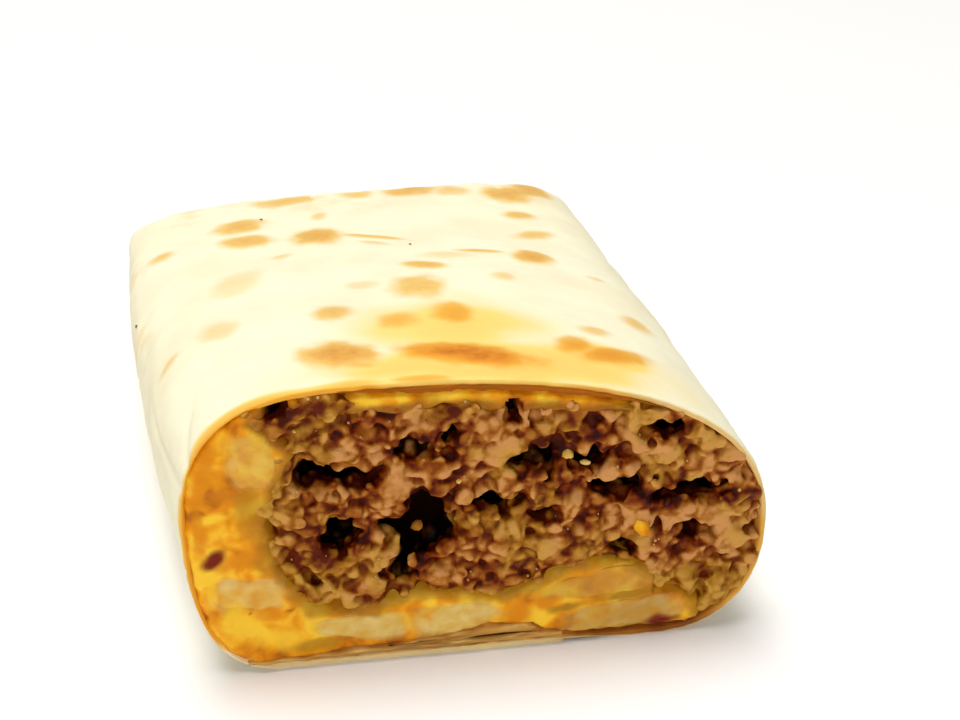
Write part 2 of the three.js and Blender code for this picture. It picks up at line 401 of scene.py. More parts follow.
def coordinates(mesh: bpy.types.Mesh) -> np.ndarray:
    """Reads a mesh's vertices.

    Args:
        mesh: The mesh.
    Returns:
        Their places in millimetres, one per row.
    """
    flat = np.empty(len(mesh.vertices) * 3)
    mesh.vertices.foreach_get("co", flat)
    return flat.reshape(-1, 3) / MM


def set_coordinates(mesh: bpy.types.Mesh, places: np.ndarray) -> None:
    """Puts a mesh's vertices at places in millimetres."""
    mesh.vertices.foreach_set("co", (places * MM).ravel())
    mesh.update()


def normals(mesh: bpy.types.Mesh) -> np.ndarray:
    """Reads a mesh's vertex normals.

    Args:
        mesh: The mesh.
    Returns:
        One direction per row.
    """
    flat = np.empty(len(mesh.vertices) * 3)
    mesh.vertex_normals.foreach_get("vector", flat)
    return flat.reshape(-1, 3)


def paint(mesh: bpy.types.Mesh, name: str, values: np.ndarray) -> None:
    """Stores one number per vertex under a name that a material reads."""
    layer = mesh.attributes.new(name, "FLOAT", "POINT")
    layer.data.foreach_set("value", np.asarray(values, np.float32))


def calmed(mesh: bpy.types.Mesh, values: np.ndarray, rounds: int) -> np.ndarray:
    """Evens out numbers along a mesh's edges.

    Args:
        mesh: The mesh.
        values: One row of numbers per vertex.
        rounds: How often each vertex is drawn towards its neighbours.
    Returns:
        The evened rows.
    """
    ends = np.empty(len(mesh.edges) * 2, int)
    mesh.edges.foreach_get("vertices", ends)
    a, b = ends.reshape(-1, 2).T
    count = np.bincount(ends, minlength=len(values)).clip(1)
    kept, drawn = 0.4, 0.6
    calm = values
    for _ in range(rounds):
        total = [np.bincount(a, row[b], len(row)) + np.bincount(b, row[a], len(row)) for row in calm.T]
        calm = kept * calm + drawn * np.stack(total, 1) / count[:, None]
    return calm


def creases(mesh: bpy.types.Mesh, places: np.ndarray, rounds: int, full: float) -> np.ndarray:
    """How far each vertex lies in a crease between bumps.

    Args:
        mesh: The mesh.
        places: Its vertices in millimetres.
        rounds: How often the surface is smoothed to find its general run, so the width of the creases.
        full: Depth that counts as 1, in millimetres.
    Returns:
        One number per vertex, from 1 in creases to -1 on tips.
    """
    return np.clip(((calmed(mesh, places, rounds) - places) * normals(mesh)).sum(1) / full, -1, 1)


def fuse(piece: bpy.types.Object, voxel: float) -> None:
    """Melts overlapping lumps into one skin.

    Args:
        piece: Object with closed lumps.
        voxel: Fineness of the skin in millimetres.
    """
    melt = piece.modifiers.new("melt", "REMESH")
    melt.mode = "VOXEL"
    melt.voxel_size = voxel * MM
    melt.use_smooth_shade = True
    ready = piece.evaluated_get(bpy.context.evaluated_depsgraph_get())
    old, piece.data = piece.data, bpy.data.meshes.new_from_object(ready)
    piece.data.name = piece.name
    piece.modifiers.clear()
    bpy.data.meshes.remove(old)


def cut_away(bm: bmesh.types.BMesh, y: float, side: int) -> list[bmesh.types.BMEdge]:
    """Cuts off what lies behind or in front of a plane across the packet.

    Args:
        bm: Mesh in metres.
        y: Where the plane lies, in millimetres.
        side: 1 cuts off what lies behind it, -1 what lies in front.
    Returns:
        The edges along the cut.
    """
    cut = bmesh.ops.bisect_plane(
        bm,
        geom=[*bm.verts, *bm.edges, *bm.faces],
        plane_co=(0, y * MM, 0),
        plane_no=(0, side, 0),
        clear_outer=True,
    )["geom_cut"]
    return [g for g in cut if isinstance(g, bmesh.types.BMEdge)]


def part_of_node(node: str, low_y: float, high_y: float) -> bpy.types.Mesh:
    """A closed copy of a CAD node between two cuts across the packet.

    Args:
        node: Name of the node.
        low_y: Where it begins.
        high_y: Where it ends.
    Returns:
        The copy in metres.
    """
    bm = bmesh.new()
    bm.from_mesh(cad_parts[node].data)
    bmesh.ops.remove_doubles(bm, verts=bm.verts, dist=1e-6)
    for y, side in ((low_y, -1), (high_y, 1)):
        rim = cut_away(bm, y, side)
        if rim:
            bmesh.ops.triangle_fill(bm, use_beauty=True, edges=rim)
    bmesh.ops.recalc_face_normals(bm, faces=bm.faces)
    copy = bpy.data.meshes.new(node)
    bm.to_mesh(copy)
    bm.free()
    return copy


def join(piece: bpy.types.Object, extra: bpy.types.Mesh, numbers: dict[str, Sequence[float]]) -> None:
    """Joins a mesh to a piece and removes the mesh.

    Args:
        piece: The piece.
        extra: Mesh to join.
        numbers: Numbers that the piece stores by name, one for each vertex of the mesh. Others are 0.
    """
    bm = bmesh.new()
    bm.from_mesh(piece.data)
    shown = len(bm.verts)
    bm.from_mesh(extra)
    bm.verts.ensure_lookup_table()
    for name, values in numbers.items():
        layer = bm.verts.layers.float.get(name)
        for corner, value in zip(bm.verts[shown:], values):
            corner[layer] = value
    bm.to_mesh(piece.data)
    bm.free()
    bpy.data.meshes.remove(extra)
    piece.data.shade_smooth()


class Tint(Enum):
    """Colours of the food, as sRGB hex."""

    UNTOASTED = "FFFFFF"
    CREAM = "FBF4D2"
    CREAM_SHADE = "F6EBC6"
    TOAST_LIGHT = "F3D190"
    TOAST = "E7B366"
    TOAST_DEEP = "C88240"
    SOAKED = "FCD877"
    SOAKED_DEEP = "F0A82A"
    CRUST_BROWN = "8A4A0C"
    CHEESE = "F2A312"
    CHEESE_BRIGHT = "FFCB34"
    CHEESE_ORANGE = "E08A0A"
    CHEESE_DEEP = "B86608"
    SAUCE_OLIVE = "A87616"
    POTATO = "E0B552"
    POTATO_PALE = "E9CD7C"
    SAUCE_SMEAR = "E89C14"
    BEEF_PINK = "D09254"
    BEEF_TAN = "B06F28"
    BEEF_BROWN = "8E480A"
    BEEF_RED = "6A2002"
    BEEF_DARK = "320A02"
    BEEF_OLIVE = "A06A12"
    CRUMB_SAUCED = "C8963A"
    # Near black painted shade deep in the mince.
    PIT = "0A0301"
    FAT_GOLD = "C89A50"
    PEPPER_RED = "7A1C02"
    FLOOR = "F8F6F3"

    @property
    def light(self) -> tuple[float, float, float, float]:
        """The colour as linear light."""
        return linear(self.value)


class Patch(Enum):
    """What shows in patches of the sauce, each in its colour, with painted highlights and shade."""

    BRIGHT = Tint.CHEESE_BRIGHT
    FAT = Tint.CHEESE_ORANGE
    THINNED = Tint.SAUCE_OLIVE
    PEPPER = Tint.PEPPER_RED


def new_material(name: str) -> tuple[bpy.types.Material, bpy.types.NodeTree]:
    """Starts a material with an empty node tree.

    Args:
        name: Name of the stuff.
    Returns:
        The material and its node tree.
    """
    made = bpy.data.materials.new(name)
    made.use_nodes = True
    made.node_tree.nodes.clear()
    return made, made.node_tree


@dataclass(frozen=True)
class GrilledTortilla:
    """Flour tortilla pressed thin and browned on a hot plate: matt, cream, floury, with toasted spots.

    Its flour is finer than flour_mm and is drawn as coarse as it needs to show.
    """

    name: str = "grilled_flour_tortilla"
    cloud_mm: float = 14.0
    blister_mm: float = 5.0
    speck_mm: float = 1.6
    flour_mm: float = 0.7
    roughness: float = 0.62
    shine: float = 0.35

    def material(self) -> bpy.types.Material:
        """Makes the material.

        Returns:
            A cream, faintly see-through skin. The piece's toast, soak and brown numbers bring in the
            browned spots, the sauce that soaks through and the brown crumb at the knife cut, which on
            the parted ply is partly painted shade of the gap under the sheet.
        """
        made, t = new_material(self.name)
        place = add_node(t, "ShaderNodeTexCoord").outputs["Object"]
        toast, soak, brown = (
            add_node(t, "ShaderNodeAttribute", {"attribute_name": name}).outputs["Fac"]
            for name in ("toast", "soak", "brown")
        )
        # Cloudy cream: thin and thick places of the dough.
        cloud = add_node(
            t, "ShaderNodeTexNoise", {"Scale": per_metre(self.cloud_mm), "Detail": 3.0}, {"Vector": place}
        )
        cream = add_node(
            t,
            "ShaderNodeValToRGB",
            {"ramp": {0.35: Tint.CREAM_SHADE, 0.6: Tint.CREAM}},
            {"Fac": cloud.outputs["Fac"]},
        )
        soaked = add_node(
            t,
            "ShaderNodeValToRGB",
            {"ramp": {0.0: Tint.CREAM, 0.5: Tint.SOAKED, 1.0: Tint.SOAKED_DEEP}},
            {"Fac": soak},
        )
        wet = add_node(t, "ShaderNodeMath", {"operation": "MULTIPLY", 1: 2.2, "use_clamp": True}, {0: soak})
        dough = add_node(
            t,
            "ShaderNodeMix",
            {"data_type": "RGBA"},
            {0: wet.outputs[0], 6: cream.outputs["Color"], 7: soaked.outputs["Color"]},
        )
        # Toasted spots break up at their edges where the dough lifted off the plate.
        speck = add_node(
            t, "ShaderNodeTexNoise", {"Scale": per_metre(self.speck_mm), "Detail": 4.0}, {"Vector": place}
        )
        edge = add_node(
            t, "ShaderNodeMath", {"operation": "MULTIPLY_ADD", 1: 0.5, 2: -0.25}, {0: speck.outputs["Fac"]}
        )
        ragged = add_node(
            t, "ShaderNodeMath", {"operation": "MULTIPLY_ADD"}, {0: edge.outputs[0], 1: toast, 2: toast}
        )
        browned = add_node(
            t,
            "ShaderNodeValToRGB",
            {"ramp": {0.0: Tint.UNTOASTED, 0.4: Tint.TOAST_LIGHT, 0.75: Tint.TOAST, 1.0: Tint.TOAST_DEEP}},
            {"Fac": ragged.outputs[0]},
        )
        skin = add_node(
            t,
            "ShaderNodeMix",
            {"data_type": "RGBA", "blend_type": "MULTIPLY", 0: 1.0},
            {6: dough.outputs[2], 7: browned.outputs["Color"]},
        )
        # Brown crumb, partly painted shade in gaps at the cut.
        crumb = add_node(
            t,
            "ShaderNodeMix",
            {"data_type": "RGBA", 7: Tint.CRUST_BROWN.light},
            {0: brown, 6: skin.outputs[2]},
        )
        blister = add_node(
            t, "ShaderNodeTexNoise", {"Scale": per_metre(self.blister_mm), "Detail": 2.0}, {"Vector": place}
        )
        flour = add_node(
            t, "ShaderNodeTexNoise", {"Scale": per_metre(self.flour_mm), "Detail": 2.0}, {"Vector": place}
        )
        low = add_node(
            t, "ShaderNodeBump", {"Strength": 0.5, "Distance": 0.4 * MM}, {"Height": blister.outputs["Fac"]}
        )
        fine = add_node(
            t,
            "ShaderNodeBump",
            {"Strength": 0.25, "Distance": 0.06 * MM},
            {"Height": flour.outputs["Fac"], "Normal": low.outputs[0]},
        )
        skin_shader = add_node(
            t,
            "ShaderNodeBsdfPrincipled",
            {
                "Roughness": self.roughness,
                "IOR": 1.42,
                "Specular IOR Level": self.shine,
                "Subsurface Weight": 0.12,
                "Subsurface Radius": (1.0, 0.75, 0.4),
                "Subsurface Scale": 1.2 * MM,
            },
            {"Base Color": crumb.outputs[2], "Normal": fine.outputs[0]},
        )
        add_node(t, "ShaderNodeOutputMaterial", None, {"Surface": skin_shader.outputs[0]})
        return made


def cut_colour(tree: bpy.types.NodeTree) -> bpy.types.NodeSocket:
    """Colour of the smeared cut, which runs on from the sauce over the fries.

    Args:
        tree: Node tree of the material.
    Returns:
        The colour: yellow sauce from bright curds to orange fat and potato flesh by the piece's flesh
        number, then thick bright sauce with painted highlights, run-out fat, sauce thinned by the
        beef's juice and darkened by painted shade near the mince, and flecks of pepper by its patch
        numbers.
    """
    place = add_node(tree, "ShaderNodeTexCoord").outputs["Object"]
    flesh = add_node(tree, "ShaderNodeAttribute", {"attribute_name": "flesh"}).outputs["Fac"]
    curd = add_node(
        tree,
        "ShaderNodeTexNoise",
        {"Scale": per_metre(CURD_MM), "Detail": 3.0, "Roughness": 0.45, "Distortion": 0.3},
        {"Vector": place},
    )
    yellow = add_node(
        tree,
        "ShaderNodeValToRGB",
        {
            "ramp": {
                0.34: Tint.CHEESE_DEEP,
                0.43: Tint.CHEESE_ORANGE,
                0.52: Tint.CHEESE,
                0.62: Tint.CHEESE_BRIGHT,
            }
        },
        {"Fac": curd.outputs["Fac"]},
    )
    meal = add_node(
        tree,
        "ShaderNodeTexNoise",
        {"Scale": per_metre(MEAL_MM), "Detail": 3.0, "Roughness": 0.45, "Distortion": 0.4},
        {"Vector": place},
    )
    potato = add_node(
        tree,
        "ShaderNodeValToRGB",
        {"ramp": {0.24: Tint.SAUCE_SMEAR, 0.42: Tint.POTATO, 0.64: Tint.POTATO_PALE}},
        {"Fac": meal.outputs["Fac"]},
    )
    shown = add_node(
        tree,
        "ShaderNodeMix",
        {"data_type": "RGBA"},
        {0: flesh, 6: yellow.outputs["Color"], 7: potato.outputs["Color"]},
    )
    colour = shown.outputs[2]
    for patch in Patch:
        amount = add_node(tree, "ShaderNodeAttribute", {"attribute_name": patch.name.lower()}).outputs["Fac"]
        mixed = add_node(
            tree, "ShaderNodeMix", {"data_type": "RGBA", 7: patch.value.light}, {0: amount, 6: colour}
        )
        colour = mixed.outputs[2]
    return colour


@dataclass(frozen=True)
class MeltedCheeseSauce:
    """Melted cheese and cream sauce, set by cooling: dense, glossy, soft-edged and deep yellow."""

    ripple_mm: float = 1.6
    roughness: float = 0.3

    def material(self) -> bpy.types.Material:
        """Makes the material.

        Returns:
            A glossy yellow that light sinks into, cloudy from bright curds to orange fat.
        """
        made, t = new_material("melted_cheese_sauce")
        place = add_node(t, "ShaderNodeTexCoord").outputs["Object"]
        ripple = add_node(
            t, "ShaderNodeTexNoise", {"Scale": per_metre(self.ripple_mm), "Detail": 3.0}, {"Vector": place}
        )
        bump = add_node(
            t, "ShaderNodeBump", {"Strength": 0.6, "Distance": 0.3 * MM}, {"Height": ripple.outputs["Fac"]}
        )
        sauce = add_node(
            t,
            "ShaderNodeBsdfPrincipled",
            {
                "Roughness": self.roughness,
                "IOR": 1.45,
                "Specular IOR Level": 0.12,
                "Subsurface Weight": 0.2,
                "Subsurface Radius": (1.0, 0.6, 0.15),
                "Subsurface Scale": 0.8 * MM,
            },
            {"Base Color": cut_colour(t), "Normal": bump.outputs[0]},
        )
        add_node(t, "ShaderNodeOutputMaterial", None, {"Surface": sauce.outputs[0]})
        return made


@dataclass(frozen=True)
class FriedPotato:
    """Fried potato cut by a knife: mealy pale flesh with a thin fried skin and a smear of sauce."""

    meal_mm: float = 0.9
    roughness: float = 0.45

    def material(self) -> bpy.types.Material:
        """Makes the material.

        Returns:
            Pale yellow mealy flesh under the smear of sauce that the knife drew over it.
        """
        made, t = new_material("fried_potato_flesh")
        place = add_node(t, "ShaderNodeTexCoord").outputs["Object"]
        fine = add_node(
            t, "ShaderNodeTexNoise", {"Scale": per_metre(self.meal_mm), "Detail": 3.0}, {"Vector": place}
        )
        bump = add_node(
            t, "ShaderNodeBump", {"Strength": 0.4, "Distance": 0.2 * MM}, {"Height": fine.outputs["Fac"]}
        )
        potato = add_node(
            t,
            "ShaderNodeBsdfPrincipled",
            {
                "Roughness": self.roughness,
                "IOR": 1.42,
                "Specular IOR Level": 0.25,
                "Subsurface Weight": 0.25,
                "Subsurface Radius": (1.0, 0.7, 0.3),
                "Subsurface Scale": 1.2 * MM,
            },
            {"Base Color": cut_colour(t), "Normal": bump.outputs[0]},
        )
        add_node(t, "ShaderNodeOutputMaterial", None, {"Surface": potato.outputs[0]})
        return made


@dataclass(frozen=True)
class BrownedMince:
    """Ground beef fried loose: crumbly brown grains, wet with fat, with painted shade in the hollows."""

    fibre_mm: float = 0.8
    roughness: float = 0.36

    def material(self) -> bpy.types.Material:
        """Makes the material.

        Returns:
            Brown that changes from crumb to crumb by the piece's tone number, olive where sauce
            soaked in, with the shine of fat. Painted shade: a high depth number, behind the cut and in
            broad creases, darkens it towards near black; the tone is lower in creases and round hollows.
        """
        made, t = new_material("browned_minced_beef")
        place = add_node(t, "ShaderNodeTexCoord").outputs["Object"]
        tone, depth, olive = (
            add_node(t, "ShaderNodeAttribute", {"attribute_name": name}).outputs["Fac"]
            for name in ("tone", "depth", "olive")
        )
        fibre = add_node(
            t, "ShaderNodeTexNoise", {"Scale": per_metre(self.fibre_mm), "Detail": 3.0}, {"Vector": place}
        )
        mottled = add_node(
            t, "ShaderNodeMath", {"operation": "MULTIPLY_ADD", 1: 0.45, 2: -0.2}, {0: fibre.outputs["Fac"]}
        )
        shade = add_node(
            t, "ShaderNodeMath", {"operation": "ADD", "use_clamp": True}, {0: mottled.outputs[0], 1: tone}
        )
        meat = add_node(
            t,
            "ShaderNodeValToRGB",
            {
                "ramp": {
                    0.0: Tint.BEEF_DARK,
                    0.25: Tint.BEEF_RED,
                    0.5: Tint.BEEF_BROWN,
                    0.75: Tint.BEEF_TAN,
                    1.0: Tint.BEEF_PINK,
                }
            },
            {"Fac": shade.outputs[0]},
        )
        sauced = add_node(
            t,
            "ShaderNodeValToRGB",
            {"ramp": {0.05: Tint.BEEF_RED, 0.45: Tint.BEEF_OLIVE, 0.95: Tint.CRUMB_SAUCED}},
            {"Fac": shade.outputs[0]},
        )
        soaked = add_node(
            t,
            "ShaderNodeMix",
            {"data_type": "RGBA"},
            {0: olive, 6: meat.outputs["Color"], 7: sauced.outputs["Color"]},
        )
        # Painted shade: the depth number darkens the brown towards near black in recesses.
        painted_shade_ramp = add_node(
            t,
            "ShaderNodeValToRGB",
            {"ramp": {0.0: Tint.BEEF_RED, 0.5: Tint.BEEF_DARK, 0.9: Tint.PIT}},
            {"Fac": depth},
        )
        deep = add_node(
            t,
            "ShaderNodeMix",
            {"data_type": "RGBA"},
            {0: depth, 6: soaked.outputs[2], 7: painted_shade_ramp.outputs["Color"]},
        )
        bump = add_node(
            t, "ShaderNodeBump", {"Strength": 0.4, "Distance": 0.4 * MM}, {"Height": fibre.outputs["Fac"]}
        )
        beef = add_node(
            t,
            "ShaderNodeBsdfPrincipled",
            {
                "Roughness": self.roughness,
                "IOR": 1.45,
                "Specular IOR Level": 0.08,
                "Subsurface Weight": 0.1,
                "Subsurface Radius": (1.0, 0.4, 0.2),
                "Subsurface Scale": 0.8 * MM,
            },
            {"Base Color": deep.outputs[2], "Normal": bump.outputs[0]},
        )
        add_node(t, "ShaderNodeOutputMaterial", None, {"Surface": beef.outputs[0]})
        return made


@dataclass(frozen=True)
class BeefFat:
    """Beads of molten beef fat: clear, pale gold and very shiny."""

    roughness: float = 0.12

    def material(self) -> bpy.types.Material:
        """Makes the material.

        Returns:
            A shiny pale gold that gives the crumbs their small wet glints.
        """
        made, t = new_material("molten_beef_fat")
        fat = add_node(
            t,
            "ShaderNodeBsdfPrincipled",
            {"Roughness": self.roughness, "IOR": 1.46, "Base Color": Tint.FAT_GOLD.light},
        )
        add_node(t, "ShaderNodeOutputMaterial", None, {"Surface": fat.outputs[0]})
        return made


@dataclass(frozen=True)
class PaleTable:
    """White laminate: smooth, matt and evenly pale."""

    roughness: float = 0.7

    def material(self) -> bpy.types.Material:
        """Makes the material.

        Returns:
            A pale matt surface that takes soft shadows.
        """
        made, t = new_material("white_laminate")
        top = add_node(
            t, "ShaderNodeBsdfPrincipled", {"Roughness": self.roughness, "Base Color": Tint.FLOOR.light}
        )
        add_node(t, "ShaderNodeOutputMaterial", None, {"Surface": top.outputs[0]})
        return made


@dataclass(frozen=True)
class Spot:
    """A toasted or soaked spot on the top, as an ellipse seen from above, in millimetres."""

    x: float
    y: float
    wide: float
    deep: float
    strength: float
    turn: float = 0.0
    soft: float = 0.46
    RAGGED: ClassVar[float] = 0.24
    PEAK: ClassVar[float] = 1.05
    RIM_FADE: ClassVar[float] = 0.25

    def cover(self, places: np.ndarray, uneven: np.ndarray) -> np.ndarray:
        """How strongly the spot shows at each place.

        Args:
            places: Points on the tortilla.
            uneven: Noise that makes the spot's edge ragged.
        Returns:
            One number from 0 to the spot's strength per place.
        """
        c, s = math.cos(self.turn), math.sin(self.turn)
        dx, dy = places[:, 0] - self.x, places[:, 1] - self.y
        across = (dx * c + dy * s) / (self.wide / 2)
        along = (-dx * s + dy * c) / (self.deep / 2)
        reach = np.hypot(across, along) + self.RAGGED * uneven
        full = 1 - smooth_step(1 - self.soft, 1 + self.soft, reach)
        return self.strength * full * (self.PEAK - self.RIM_FADE * np.clip(reach, 0, 1))


SPOTS = (
    # Along the fold.
    Spot(-19, 44, 12, 6, 0.5),
    Spot(-5, 45, 7, 5, 0.4),
    Spot(6, 45, 11, 7, 0.6),
    Spot(14, 43, 7, 6, 0.35),
    Spot(25, 40, 9, 11, 0.65, 0.3),
    Spot(30, 44, 8, 9, 0.65, -0.3),
    # On the left.
    Spot(-28, 30, 10, 8, 0.6, 0.5),
    Spot(-27, 20, 10, 7, 0.6, -0.5),
    Spot(-13, 32, 3, 5, 0.35, -0.3),
    Spot(-14, 19, 9, 9, 0.7),
    Spot(-43, 23, 5, 4, 0.4, -0.5),
    Spot(-29, -2, 8, 12, 0.2, -0.4),
    Spot(-32, -22, 6, 8, 0.25, 0.3),
    Spot(-40, -24, 4, 2, 0.3, 0.9),
    # Streaks.
    Spot(-4, 16, 14, 2, 0.5, -0.5),
    Spot(-4, 12, 6, 2, 0.3, -0.6),
    Spot(-21, 9, 4, 2, 0.3, 0.5),
    Spot(14, 4, 8, 2, 0.5, -0.2),
    Spot(8, 2, 9, 4, 0.2, -0.2),
    # In the middle.
    Spot(3, -3, 8, 4, 0.6, -0.4),
    Spot(-8, -11, 6, 4, 0.2),
    Spot(1, -14, 9, 10, 0.5),
    Spot(-14, -24, 6, 7, 0.5, -0.4),
    Spot(-4, -29, 6, 7, 0.4, -0.2),
    Spot(5, -27, 6, 9, 0.5),
    # On the right.
    Spot(25, 26, 6, 5, 0.5),
    Spot(26, 15, 8, 4, 0.4, 0.4),
    Spot(23, 1, 7, 7, 0.7, -0.4),
    Spot(16, -10, 4, 4, 0.3, -0.6),
    Spot(33, -6, 3, 2, 0.25),
    Spot(36, -24, 5, 5, 0.4, 0.3),
    Spot(27, -33, 5, 4, 0.4, 0.4),
    # Behind the cut.
    Spot(-14, -42, 11, 9, 0.8, -0.6),
    Spot(5, -45, 19, 7, 0.9, -0.35),
    Spot(22, -40, 5, 7, 0.6, -0.4),
    Spot(28, -42, 12, 5, 0.6, 0.35),
)
# Where sauce has soaked through the sheet.
STAINS = (
    Spot(4, -33, 32, 28, 0.54, -0.1, 0.6),
    Spot(9, -48, 52, 20, 0.62, 0.0, 0.55),
    Spot(26, -43, 18, 12, 0.6, 0.0, 0.45),
    Spot(-3, -54, 10, 4, 0.95, 0.0, 0.4),
    Spot(12, -54, 12, 3, 0.6, 0.0, 0.4),
    Spot(-29, -2, 10, 14, 0.14, -0.4, 0.5),
    Spot(-44, 36, 14, 18, 0.14, 0.0, 0.6),
)
# Places of the charred flecks, seen from above.
FLECKS = ((-24, 33), (2, 10), (-47, 3))


@dataclass
class Tortilla:
    """The folded sheet with its layers at the cut. Shape is in millimetres, toast runs from 0 to 1."""

    finish: GrilledTortilla = GrilledTortilla()
    soaked: GrilledTortilla = GrilledTortilla(name="soaked_flour_tortilla", shine=0.08)
    around: int = 380
    step: float = 0.64
    end_rings: int = 40
    inner_end_round: float = 20.0
    lip_depth: float = 12.0
    slow_wave: float = 0.5
    quick_wave: float = 0.22
    blister: float = 0.05
    toast_lift: float = 0.35
    wrinkle_height: float = 0.35
    crease_depth: float = 0.45
    seam_step: float = 0.8
    end_flap_top: float = 21.0
    end_flap_arch: float = 9.0
    under_toast: float = 0.6
    side_toast: float = 0.17
    seed: int = 11

    def rings(self) -> tuple[list[np.ndarray], list[float]]:
        """The sheet's rings from the inside of the fold, out round the cut and back to the fold.

        Returns:
            The rings, and for each how far it counts as cut or inside, from 0 to 1.
        """
        p, n = PACKET, self.around
        inner = Margin.even(p.wall)
        back = p.fold_y - p.end_flap
        rings: list[np.ndarray] = []
        inside: list[float] = []
        rings.append(p.ring(back - p.wall, inner, n, self.inner_end_round))
        for y in np.linspace(back - p.wall - p.end_round, p.cut_y + self.lip_depth, 6):
            rings.append(p.ring(y, inner, n))
        for y in np.linspace(p.cut_y + 10, p.cut_y + 0.6, 8):
            rings.append(p.ring(y, p.lip.grown(inner, (y - p.cut_y) / self.lip_depth), n))
        inside += [1.0] * len(rings)
        for share in (1.0, 0.7, 0.4, 0.12):
            rim = p.ring(p.cut_y, Margin().grown(p.lip, share), n)
            left = 1 - smooth_step(-30, -18, rim[:, 0])
            rim[:, 1] += 0.2 * grain(rim, 2.2, self.seed + 3) + 0.5 * left * smooth_step(0.3, 0.8, share)
            rings.append(rim)
            inside.append(share)
        for y in np.arange(p.cut_y + 0.5, back - p.end_round, self.step):
            rings.append(p.ring(y, Margin(), n))
            inside.append(0.0)
        for turn in np.linspace(0, math.pi / 2, 12)[1:]:
            y = back - p.end_round + p.end_round * math.sin(turn)
            rings.append(p.ring(y, Margin(), n, p.end_round * (1 - math.cos(turn))))
            inside.append(0.0)
        border = p.ring(back, Margin(), n, p.end_round)
        middle = (border.max(0) + border.min(0)) / 2
        for share in np.linspace(0, 0.985, self.end_rings)[1:]:
            rings.append(border + (middle - border) * share)
            inside.append(0.0)
        return rings, inside

    def build(self) -> list[bpy.types.Object]:
        """Makes the sheet, the plies that show at the cut and the charred flecks on top.

        Returns:
            The pieces.
        """
        sheet = self.sheet()
        plies = [self.base_layer(), self.torn_ply(), self.parted_ply()]
        pieces = [sheet, *plies, self.char_flecks(sheet)]
        grilled, soaked = self.finish.material(), self.soaked.material()
        for piece in pieces:
            piece.data.materials.append(soaked if piece in plies else grilled)
            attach(piece, "root")
            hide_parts("tortilla")
        return pieces

    def sheet(self) -> bpy.types.Object:
        """The outer sheet, wavy, blistered and toasted.

        Returns:
            The piece.
        """
        rings, inside = self.rings()
        piece = smooth_object("tortilla_sheet", skin_rings(rings))
        places, out = coordinates(piece.data), normals(piece.data)
        out[-(self.end_rings - 1) * self.around :] = (0, 1, 0)
        cut = np.repeat(inside, self.around)
        skin = 1 - smooth_step(0.0, 0.4, cut)
        top = smooth_step(0.15, 0.5, out[:, 2]) * skin
        under = smooth_step(0.6, 0.9, -out[:, 2]) * skin
        drawn = np.maximum(smooth_step(0.5, 0.9, np.abs(out[:, 0])), smooth_step(24, 50, places[:, 1])) * skin
        ragged = grain(places, 3.2, self.seed) + 0.5 * grain(places, 1.4, self.seed + 1)
        toast = self.toasting(places, ragged, top, under, drawn)
        lift = smooth_step(0.3, 5.0, places[:, 2]) * skin
        heave = (self.waves(places, ragged, drawn) + self.toast_lift * toast) * lift
        places = self.seam(places + out * heave[:, None], out)
        places = self.close_end(places)
        set_coordinates(piece.data, places)
        soak = self.soak(places, cut, top)
        self.store_colours(piece.data, places, smooth_step(0.05, 0.3, cut), ragged, toast, soak)
        return piece

    def toasting(
        self, places: np.ndarray, ragged: np.ndarray, top: np.ndarray, under: np.ndarray, drawn: np.ndarray
    ) -> np.ndarray:
        """How far the sheet is toasted: in spots on top, in clouds underneath, faintly on the sides.

        Args:
            places: Points of the sheet.
            ragged: Noise that breaks up the edges of the spots.
            top: How far each point faces up.
            under: How far each faces down.
            drawn: How far each lies on a side or on the folded end.
        Returns:
            One number from 0 to 1 per point.
        """
        toast = np.zeros(len(places))
        for spot in SPOTS:
            toast = np.maximum(toast, spot.cover(places, ragged))
        toast *= top
        cloud = grain(places, 9.0, self.seed + 6) + 0.4 * ragged
        toast = np.maximum(toast, under * self.under_toast * smooth_step(0.0, 0.8, cloud))
        faint = self.side_toast * smooth_step(0.1, 0.65, cloud) * smooth_step(4, 10, places[:, 2])
        return np.maximum(toast, drawn * faint * smooth_step(8, 40, places[:, 1] - PACKET.cut_y))

    def waves(self, places: np.ndarray, ragged: np.ndarray, drawn: np.ndarray) -> np.ndarray:
        """How far waves, blisters and wrinkles lift the sheet. Waves are lower near the cut.

        Args:
            places: Points of the sheet.
            ragged: Noise of the blisters.
            drawn: How far each point lies on a side or on the folded end.
        Returns:
            One height per point.
        """
        slow, quick = grain(places, 24, self.seed + 4), grain(places, 9, self.seed + 5)
        waves = self.slow_wave * slow + self.quick_wave * quick
        waves *= 0.45 + 0.55 * smooth_step(2, 16, places[:, 1] - PACKET.cut_y)
        waves += self.blister * ragged + drawn * self.wrinkles(places)
        return waves

    def store_colours(
        self,
        mesh: bpy.types.Mesh,
        places: np.ndarray,
        rim: np.ndarray,
        ragged: np.ndarray,
        toast: np.ndarray,
        soak: np.ndarray,
    ) -> None:
        """Stores the sheet's colour numbers, with the brown and moist rim at the lower right of the cut.

        Args:
            mesh: The sheet's mesh.
            places: Its points.
            rim: How far each point lies on the cut rim.
            ragged: Noise that breaks up the browning.
            toast: How far each is toasted.
            soak: How far sauce has soaked through each.
        """
        right = smooth_step(16, 24, places[:, 0])
        low = 1 - smooth_step(1.5, 6.0, places[:, 2])
        lower = 1 - smooth_step(18, 30, places[:, 2])
        paint(mesh, "toast", np.maximum(toast, rim * (0.35 * right + 0.3 * low * (1 - right))))
        paint(mesh, "soak", np.maximum(soak, rim * right * (0.55 * lower + 0.35 * low)))
        paint(mesh, "brown", rim * right * (0.12 + 0.12 * lower + (0.62 + 0.3 * ragged) * low))

